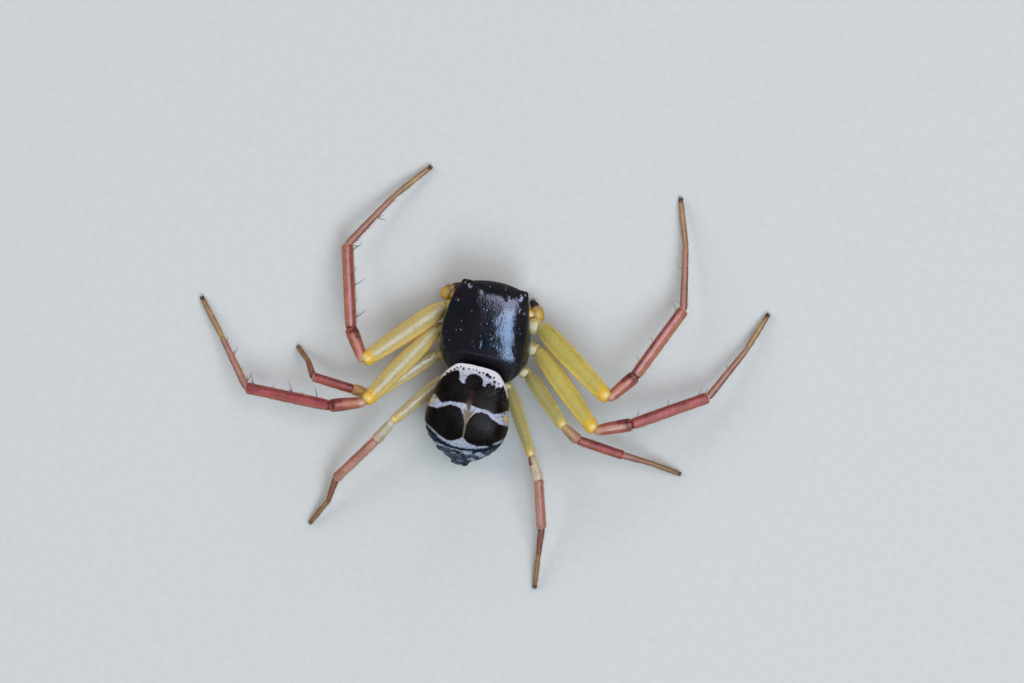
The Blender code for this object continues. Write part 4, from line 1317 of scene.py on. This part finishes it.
def reach_inside(places, outline):
    """How far each place lies inside a closed outline (less than 0 outside it)."""
    x, y = places.T
    nearest = np.full(len(places), np.inf)
    inside = np.zeros(len(places), dtype=bool)
    corners = list(outline)
    for (x0, y0), (x1, y1) in zip(corners, corners[1:] + corners[:1]):
        run, rise = x1 - x0, y1 - y0
        t = np.clip(((x - x0) * run + (y - y0) * rise) / (run * run + rise * rise), 0.0, 1.0)
        nearest = np.minimum(nearest, np.hypot(x - x0 - t * run, y - y0 - t * rise))
        crossing = ((y0 > y) != (y1 > y)) & (x < run * (y - y0) / (rise if rise else 1e-9) + x0)
        inside ^= crossing
    return np.where(inside, nearest, -nearest)


def band_outline(band):
    return [(u, upper) for u, upper, lower in band] + [(u, lower) for u, upper, lower in reversed(band)]


FRONT_CAP = (
    (-1.75, -1.10), (-1.55, -0.40), (-0.9, 0.10), (0.9, 0.10), (1.55, -0.40), (1.80, -1.25), (1.33, -1.18),
    (1.20, -0.92), (1.06, -0.74), (0.98, -0.94), (0.90, -0.84), (0.82, -0.94), (0.76, -0.76), (0.66, -0.84),
    (0.58, -0.74), (0.48, -0.82), (0.42, -0.94), (0.34, -0.90), (-0.30, -0.96), (-0.42, -0.97), (-0.53, -0.86),
    (-0.55, -0.66), (-0.64, -0.52), (-0.92, -0.66), (-1.14, -0.86), (-1.30, -1.12),
)
HEART_MARK = (
    (-0.08, -1.15), (0.06, -1.15), (0.08, -1.40), (0.09, -1.65), (0.06, -1.88), (0.0, -1.96),
    (-0.06, -1.84), (-0.10, -1.62), (-0.10, -1.40),
)
TAN_WEDGE = (
    (-0.17, -1.88), (-0.04, -1.94), (0.06, -1.94), (0.22, -1.90), (0.13, -2.14), (0.05, -2.42), (0.045, -2.95),
    (0.005, -2.95), (-0.01, -2.42), (-0.11, -2.12),
)
SIDE_SPOTS = ((-1.40, -1.80, 0.10), (1.48, -1.92, 0.11))
DARK_DOTS = (
    (-0.03, -1.97, 0.022), (0.07, -2.02, 0.020), (0.02, -2.12, 0.020), (-1.28, -1.66, 0.035),
    (1.32, -1.86, 0.030), (1.40, -2.00, 0.025), (1.36, -1.72, 0.03),
)
REAR_PATCHES = (
    (-0.92, -3.34, 0.13, 0.06), (-0.62, -3.58, 0.08, 0.04), (0.26, -3.42, 0.18, 0.06), (0.78, -3.40, 0.19, 0.07),
    (0.52, -3.62, 0.13, 0.06), (0.05, -3.80, 0.12, 0.05), (-0.20, -3.52, 0.10, 0.03),
)
REAR_LINE = ((-1.30, -3.10), (-1.00, -3.26), (-0.60, -3.36), (-0.20, -3.39), (0.10, -3.40), (0.45, -3.34))


def flattened(piece, share_out, share_up):
    """The skin's places spread out flat as seen in life, its sides folded outwards."""
    places = read_points(piece)
    tilt = math.radians(VIEW_TILT)
    outward = -places[:, 0] * math.cos(tilt) - (places[:, 2] - 2.7) * math.sin(tilt)
    forward = -places[:, 1]
    under = share_up < 0.56
    grown = np.where(under, (2.0 - np.minimum(share_out, 1.0)) / np.maximum(share_out, 0.05), 1.0)
    middle = -(np.array(2.0) - 2.7) * math.sin(tilt)
    return np.column_stack(((outward - middle) * grown + middle, (forward - ABDOMEN_CENTRE) * grown + ABDOMEN_CENTRE))


def build_abdomen():
    """The flat-backed abdomen with its markings, plates, furrows and pits."""
    piece, share_out, share_up = domed(
        "abdomen_sac", ABDOMEN_EDGE, ABDOMEN_CENTRE, ABDOMEN_BELLY, ABDOMEN_BACK, ABDOMEN_PROFILE, 320, 210,
    )
    swing = Matrix.Translation(at(*SWING_CENTRE, 0.0)) @ Matrix.Rotation(math.radians(-ABDOMEN_SWING), 4, "Z")
    piece.data.transform(swing @ Matrix.Translation(-at(*SWING_CENTRE, 0.0)))
    spread = flattened(piece, share_out, share_up)
    pits = np.full(len(spread), -1.0)
    for u, f, radius in FRONT_PITS + DARK_DOTS:
        pits = np.maximum(pits, radius - np.linalg.norm(spread - np.array((u, f)), axis=1))
    spot = SPOT_RADIUS - np.linalg.norm((spread - np.array(SPOT_CENTRE)) * (0.95, 1.0), axis=1)
    cap = reach_inside(spread, FRONT_CAP)
    middle_band = reach_inside(spread, band_outline(MIDDLE_BAND))
    rear_band = reach_inside(spread, band_outline(REAR_BAND))
    rear_band = np.maximum(rear_band, reach_inside(spread, band_outline(REAR_PIECE)))
    line = np.full(len(spread), -1.0)
    for (u0, f0), (u1, f1) in zip(REAR_LINE, REAR_LINE[1:]):
        run = np.array((u1 - u0, f1 - f0))
        t = np.clip(((spread - (u0, f0)) @ run) / (run @ run), 0.0, 1.0)
        line = np.maximum(line, 0.016 - np.linalg.norm(spread - (u0, f0) - t[:, None] * run, axis=1))
    patches = np.full(len(spread), -1.0)
    for u, f, wide, long in REAR_PATCHES:
        off = np.linalg.norm((spread - (u, f)) / (wide, long), axis=1)
        patches = np.maximum(patches, (1.0 - off) * min(wide, long))
    white = np.maximum.reduce((cap, middle_band, rear_band, line, patches))
    white = np.minimum(white, -spot) - 0.05 * step_up(-share_up, -0.40, -0.05)
    rear_start = np.array([(u, lower) for u, upper, lower in REAR_BAND + REAR_PIECE])
    rear_edge = np.interp(spread[:, 0], rear_start[:, 0], rear_start[:, 1])
    rear = rear_edge - spread[:, 1]
    write_values(piece, "white", white)
    edge_gap = 1.0 - share_out
    write_values(piece, "bright", np.minimum(0.13 - edge_gap, spread[:, 1] + 1.3))
    write_values(piece, "dots", pits)
    write_values(piece, "rear", rear - 0.10)
    write_values(piece, "teal", np.minimum(rear, 0.13 - rear))
    write_values(piece, "brown", reach_inside(spread, HEART_MARK))
    write_values(piece, "crossing", step_up(-spread[:, 1], 1.35, 1.80))
    write_values(piece, "tan", reach_inside(spread, TAN_WEDGE))
    yellow = np.maximum.reduce([r - np.linalg.norm(spread - (u, f), axis=1) for u, f, r in SIDE_SPOTS])
    write_values(piece, "yellow", yellow)
    # Pale specks, on the right front only: partly pale grains, partly painted glints.
    right = step_up(spread[:, 0], 0.3, 0.9)
    write_values(piece, "pale_specks_and_glints", np.minimum(cap + 0.30, 0.2) * right - 0.02 * (1 - right) - 0.1 * (1 - right))
    depth = 0.030 * step_up(white, -0.06, 0.03) + 0.035 * step_up(pits, -0.03, 0.02)
    depth += 0.015 * step_up(spot, 0.0, 0.10)
    depth += 0.025 * step_up(reach_inside(spread, TAN_WEDGE), -0.04, 0.02)
    rear_wrinkle = np.sin(rear * 2 * math.pi / 0.13)
    depth += 0.012 * rear_wrinkle * step_up(rear, 0.05, 0.15) * step_up(share_out, 0.2, 0.5)
    below = step_up(-share_up, -0.50, -0.42)
    wrinkles = np.sin(share_up * 2 * math.pi / 0.075 + np.sin(spread[:, 1] * 4.0) * 1.2)
    depth += 0.008 * wrinkles * below * step_up(share_out, 0.55, 0.8)
    outward, forward = np.abs(read_points(piece)[:, 0]), -read_points(piece)[:, 1]
    furrow = np.exp(-(((forward + 1.15 + 0.08 * outward**2) / 0.035) ** 2)) * step_up(-outward, -0.8, -0.6)
    depth += 0.04 * furrow * (share_up < 0.3)
    dent(piece, depth)
    finished(piece, abdomen_skin(), "abdomen_skin", "abdomen")


def build_waist():
    start, end, half = (at(*WAIST[0]), at(*WAIST[1]), WAIST[2])
    piece = Stretch(start, end, half, FOLD_FORM, 1.0).build("waist", sides=16)
    finished(piece, LIMB_SKINS["yellow fold"], "abdomen_skin")


def build_tail():
    """Six spinnerets and the small tail bump on a low collar."""
    start, end, half = SPINNERET_COLLAR
    pieces = [Stretch(at(*start), at(*end), half, RING_FORM, 1.0).build("collar", sides=20)]
    for start, end, half in SPINNERETS:
        for side in (1.0, -1.0):
            cone = Stretch(at(*start, side), at(*end, side), half, CONE_FORM, side)
            pieces.append(cone.build("spinneret", sides=12))
    start, end, half = TAIL_BUMP
    pieces.append(Stretch(at(*start), at(*end), half, CONE_FORM, 1.0).build("bump", sides=12))
    piece = joined("spinneret_group", pieces)
    swing = Matrix.Translation(at(*SWING_CENTRE, 0.0)) @ Matrix.Rotation(math.radians(-ABDOMEN_SWING), 4, "Z")
    piece.data.transform(swing @ Matrix.Translation(-at(*SWING_CENTRE, 0.0)))
    finished(piece, TAIL_SKIN, "spinneret_skin", "spinnerets")


def build_jaws():
    """Two jaws that hang from the front of the shield, each with a hooked fang."""
    for side_name, side in SIDES.items():
        start, end, half = JAW
        jaw = Stretch(at(*start, side), at(*end, side), half, JAW_FORM, side, flat=0.9)
        piece = jaw.build(f"jaw_{side_name}", sides=18)
        finished(piece, JAW_SKIN, "black_shell", f"chelicera_{side_name}")
        start, end, half = FANG
        fang = Stretch(at(*start, side), at(*end, side), half, HOOK_FORM, side)
        finished(fang.build(f"fang_{side_name}", sides=10), CLAW_SKIN, "black_shell", f"chelicera_{side_name}")


def build_mouthparts():
    """The two side lobes of the mouth, the lower lip between them and the breastplate."""
    pieces = []
    for side in SIDES.values():
        start, end, half = MOUTH_LOBE
        pieces.append(Stretch(at(*start, side), at(*end, side), half, LOBE_FORM, side, flat=0.75).build("lobe"))
    start, end, half = LOWER_LIP
    pieces.append(Stretch(at(*start), at(*end), half, LOBE_FORM, 1.0, flat=0.7).build("lip"))
    finished(joined("mouth", pieces), MOUTH_SKIN, "mouthpart_skin", "mouthparts")
    plate, share_out, share_up = domed(
        "breastplate", BREASTPLATE_EDGE, 0.5, ((-1.0, 0.54), (2.0, 0.54)), ((-1.0, 1.02), (2.0, 1.02)),
        BREASTPLATE_PROFILE, 120, 60,
    )
    places = read_points(plate)
    outward, forward = np.abs(places[:, 0]), -places[:, 1]
    depth = np.zeros(len(places))
    for hip in (1.10, 0.62, 0.10, -0.28):
        depth += 0.03 * np.exp(-(((forward - hip) / 0.12) ** 2)) * step_up(outward, 0.30, 0.52)
    dent(plate, depth)
    finished(plate, BREAST_SKIN, "black_shell", "sternum")


PALP_SKIN = palp_skin()
PALP_TIP_SKIN = palp_tip_skin()


def build_palp(side_name):
    """A feeler: a bent amber arm with a round knee, and a dark, bristly tip."""
    side = SIDES[side_name]
    spread, ahead = FEELER_SHIFT[side_name]
    root = at(*FEELER_ROOT, side)
    elbow, wrist, tip = (
        at(outward + spread, forward + ahead, height, side)
        for outward, forward, height in (FEELER_ELBOW, FEELER_WRIST, FEELER_TIP)
    )
    tip = tip - at(FEELER_TIP_TUCK[side_name], 0.0, 0.0, side)
    out = (elbow - root).normalized()
    back = (wrist - elbow).normalized()
    last_way = (tip - wrist).normalized()
    hip = Stretch(root, root.lerp(elbow, 0.30), 0.19, RING_FORM, side)
    thigh = Stretch(root.lerp(elbow, 0.26), elbow + out * 0.10, 0.215, LOBE_FORM, side)
    knee = Stretch(elbow - back * 0.25 + out * 0.01, elbow + back * 0.26 + out * 0.01, 0.245, LOBE_FORM, side)
    shin = Stretch(elbow - back * 0.04, wrist + last_way * 0.06, 0.225, LOBE_FORM, side)
    last = Stretch(wrist - last_way * 0.05, tip, 0.118, LOBE_FORM, side)
    pieces = [part.build("part", sides=14) for part in (hip, thigh, knee, shin)]
    finished(joined(f"palp_{side_name}_arm", pieces), PALP_SKIN, "palp_skin", f"palp_{side_name}")
    finished(last.build(f"palp_{side_name}_tip"), PALP_TIP_SKIN, "palp_skin", f"palp_{side_name}")
    rng = np.random.default_rng(40 + (side > 0))
    dark = scattered(last, rng, 130, (0.15, 0.98), (15, 40), (0.08, 0.14), 0.004, 0.25, 0, 2, sway=0.3)
    dark_arm = scattered(shin, rng, 14, (0.4, 0.95), (30, 50), (0.07, 0.11), 0.004, 0.25, 1, 2, sway=0.2)
    bristles(f"palp_{side_name}_bristles", [dark, dark_arm], BRISTLE_SKIN, "palp_skin")
    pale = [
        scattered(part, rng, count, (0.1, 0.95), (25, 50), (0.06, 0.10), 0.003, 0.25, row, 3, sway=0.2)
        for row, (part, count) in enumerate(((thigh, 80), (knee, 90), (shin, 60)))
    ]
    bristles(f"palp_{side_name}_fine_hairs", pale, PALE_HAIR_SKIN, "palp_skin")


def body_hairs(name, places, outs, chances, count, length, width, slope, seed, slot, flow):
    """Short hairs on a body, at places drawn by their chances, lying the way of the flow."""
    rng = np.random.default_rng(seed)
    picked = rng.choice(len(places), size=count, replace=False, p=chances / chances.sum())
    low, high = places.min(axis=0), places.max(axis=0)
    roots, out = places[picked], outs[picked]
    lie = np.array(flow) + rng.normal(0.0, 0.25, (count, 3))
    lie -= out * np.sum(lie * out, axis=1, keepdims=True)
    lie /= np.linalg.norm(lie, axis=1, keepdims=True)
    lifts = np.radians(rng.normal(slope, 6, count))[:, None]
    ways = lie * np.cos(lifts) + out * np.sin(lifts)
    bends = lie * np.sin(lifts) - out * np.cos(lifts)
    shares = (roots - low) / (high - low)
    patches = np.column_stack((0.02 + 0.46 * shares[:, 0] + 0.5 * (out[:, 2] < 0), 0.02 + 0.96 * shares[:, 1]))
    lengths = length * rng.uniform(0.7, 1.3, count)
    hairs = (
        roots - out * width, ways, bends, lengths, np.full(count, width), np.full(count, 0.3), patches,
    )
    return bristles(name, [hairs], BRISTLE_SKIN, slot)


def stage_floor():
    """A plain pale floor, wide enough for every view."""
    deselect_all()
    bpy.ops.mesh.primitive_plane_add(size=4.0, location=(0.0, 0.0, 0.0))
    floor = bpy.context.object
    floor.name = "floor"
    material, tree, surface = shader("pale floor", roughness=0.8, specular_ior_level=0.1)
    place = add(tree, "ShaderNodeTexCoord").outputs["Object"]
    cloud = noise(tree, place, 4000.0)
    colour = mixed(tree, ramped(tree, cloud, 0.3, 0.7), (0.61, 0.62, 0.61), (0.63, 0.64, 0.63))
    tree.links.new(colour, surface.inputs["Base Color"])
    floor.data.materials.append(material)
    floor.visible_glossy = False


def camera_axes():
    turn, tilt = math.radians(VIEW_TURN), math.radians(VIEW_TILT)
    right = Vector((-math.cos(turn) * math.cos(tilt), -math.sin(turn), -math.cos(turn) * math.sin(tilt)))
    up = Vector((math.sin(turn) * math.cos(tilt), -math.cos(turn), math.sin(turn) * math.sin(tilt)))
    back = Vector((-math.sin(tilt), 0.0, math.cos(tilt)))
    return right, up, back


def set_camera():
    right, up, back = camera_axes()
    aim = Vector(VIEW_AIM) * MM + SHIFT
    lens = bpy.data.cameras.new("camera")
    lens.sensor_width = SENSOR_WIDTH
    lens.lens = SENSOR_WIDTH * VIEW_DISTANCE / VIEW_WIDTH
    lens.clip_start = 0.05
    lens.clip_end = 5.0
    camera = bpy.data.objects.new("camera", lens)
    bpy.context.scene.collection.objects.link(camera)
    axes = Matrix((right, up, back)).transposed().to_4x4()
    camera.matrix_world = Matrix.Translation(aim + back * VIEW_DISTANCE * MM) @ axes
    bpy.context.scene.camera = camera


def lit_pieces(name, pieces, state):
    """The pieces that a light shines on (INCLUDE) or leaves out (EXCLUDE)."""
    group = bpy.data.collections.new(name)
    for piece in pieces:
        group.objects.link(piece)
    for entry in group.collection_objects:
        entry.light_linking.link_state = state
    return group


def soft_light(name, aside, ahead, distance, size, power, colour, lit, mirrored=True):
    """A soft light, tilted from straight above to the picture's right and top, in degrees.

    One that isn't mirrored lights the skin but leaves no bright patch in its gloss.
    """
    right, up, back = camera_axes()
    way = UP + right * math.tan(math.radians(aside)) + up * math.tan(math.radians(ahead))
    way.normalize()
    long_way = (up - way * up.dot(way)).normalized()
    lamp = bpy.data.lights.new(name, "AREA")
    lamp.shape = "RECTANGLE"
    lamp.size, lamp.size_y = size
    lamp.energy = power
    lamp.color = colour
    light = bpy.data.objects.new(name, lamp)
    axes = Matrix((long_way, way.cross(long_way), way)).transposed().to_4x4()
    light.matrix_world = Matrix.Translation(SHIFT + way * distance) @ axes
    light.visible_glossy = mirrored
    light.light_linking.receiver_collection = lit
    bpy.context.scene.collection.objects.link(light)


def set_lights():
    shell = bpy.data.objects["shield"]
    rest = lit_pieces("all but the shell", [shell], "EXCLUDE")
    soft_light("key", 24, -10, 0.40, (0.40, 0.26), 0.80, (0.88, 0.93, 1.0), rest)
    soft_light("gleam", 15, -34, 0.40, (0.22, 0.14), 0.62, (0.74, 0.88, 1.0), rest)
    soft_light("window", 22, 22, 0.40, (0.16, 0.28), 0.20, (1.0, 0.88, 0.98), rest)
    soft_light("fill", -58, 28, 0.45, (0.20, 0.30), 0.60, (1.0, 0.96, 0.90), rest, mirrored=False)
    soft_light("front", 24, 65, 0.45, (0.16, 0.30), 0.36, (1.0, 0.98, 0.95), rest, mirrored=False)
    only = lit_pieces("only the shell", [shell], "INCLUDE")
    soft_light("shell front", 24, 30, 0.40, (0.31, 0.26), 1.20, (1.0, 0.84, 0.90), only)
    soft_light("shell streak", 20.5, -3, 0.40, (0.22, 0.19), 0.95, (0.75, 0.82, 1.0), only)
    soft_light("shell rear", 14, -45, 0.40, (0.39, 0.11), 1.05, (0.74, 0.84, 1.0), only)
    world = bpy.data.worlds.new("studio")
    world.use_nodes = True
    glow = world.node_tree.nodes["Background"]
    glow.inputs["Color"].default_value = (0.90, 0.93, 0.95, 1.0)
    glow.inputs["Strength"].default_value = 0.15
    bpy.context.scene.world = world
    bpy.context.scene.view_settings.view_transform = "Standard"


stage_floor()
set_camera()
for side_name in SIDES:
    for number in HIPS:
        build_leg(side_name, number)
build_shield()
build_eyes()
build_abdomen()
build_waist()
build_tail()
build_jaws()
build_mouthparts()
for side_name in SIDES:
    build_palp(side_name)
set_lights()
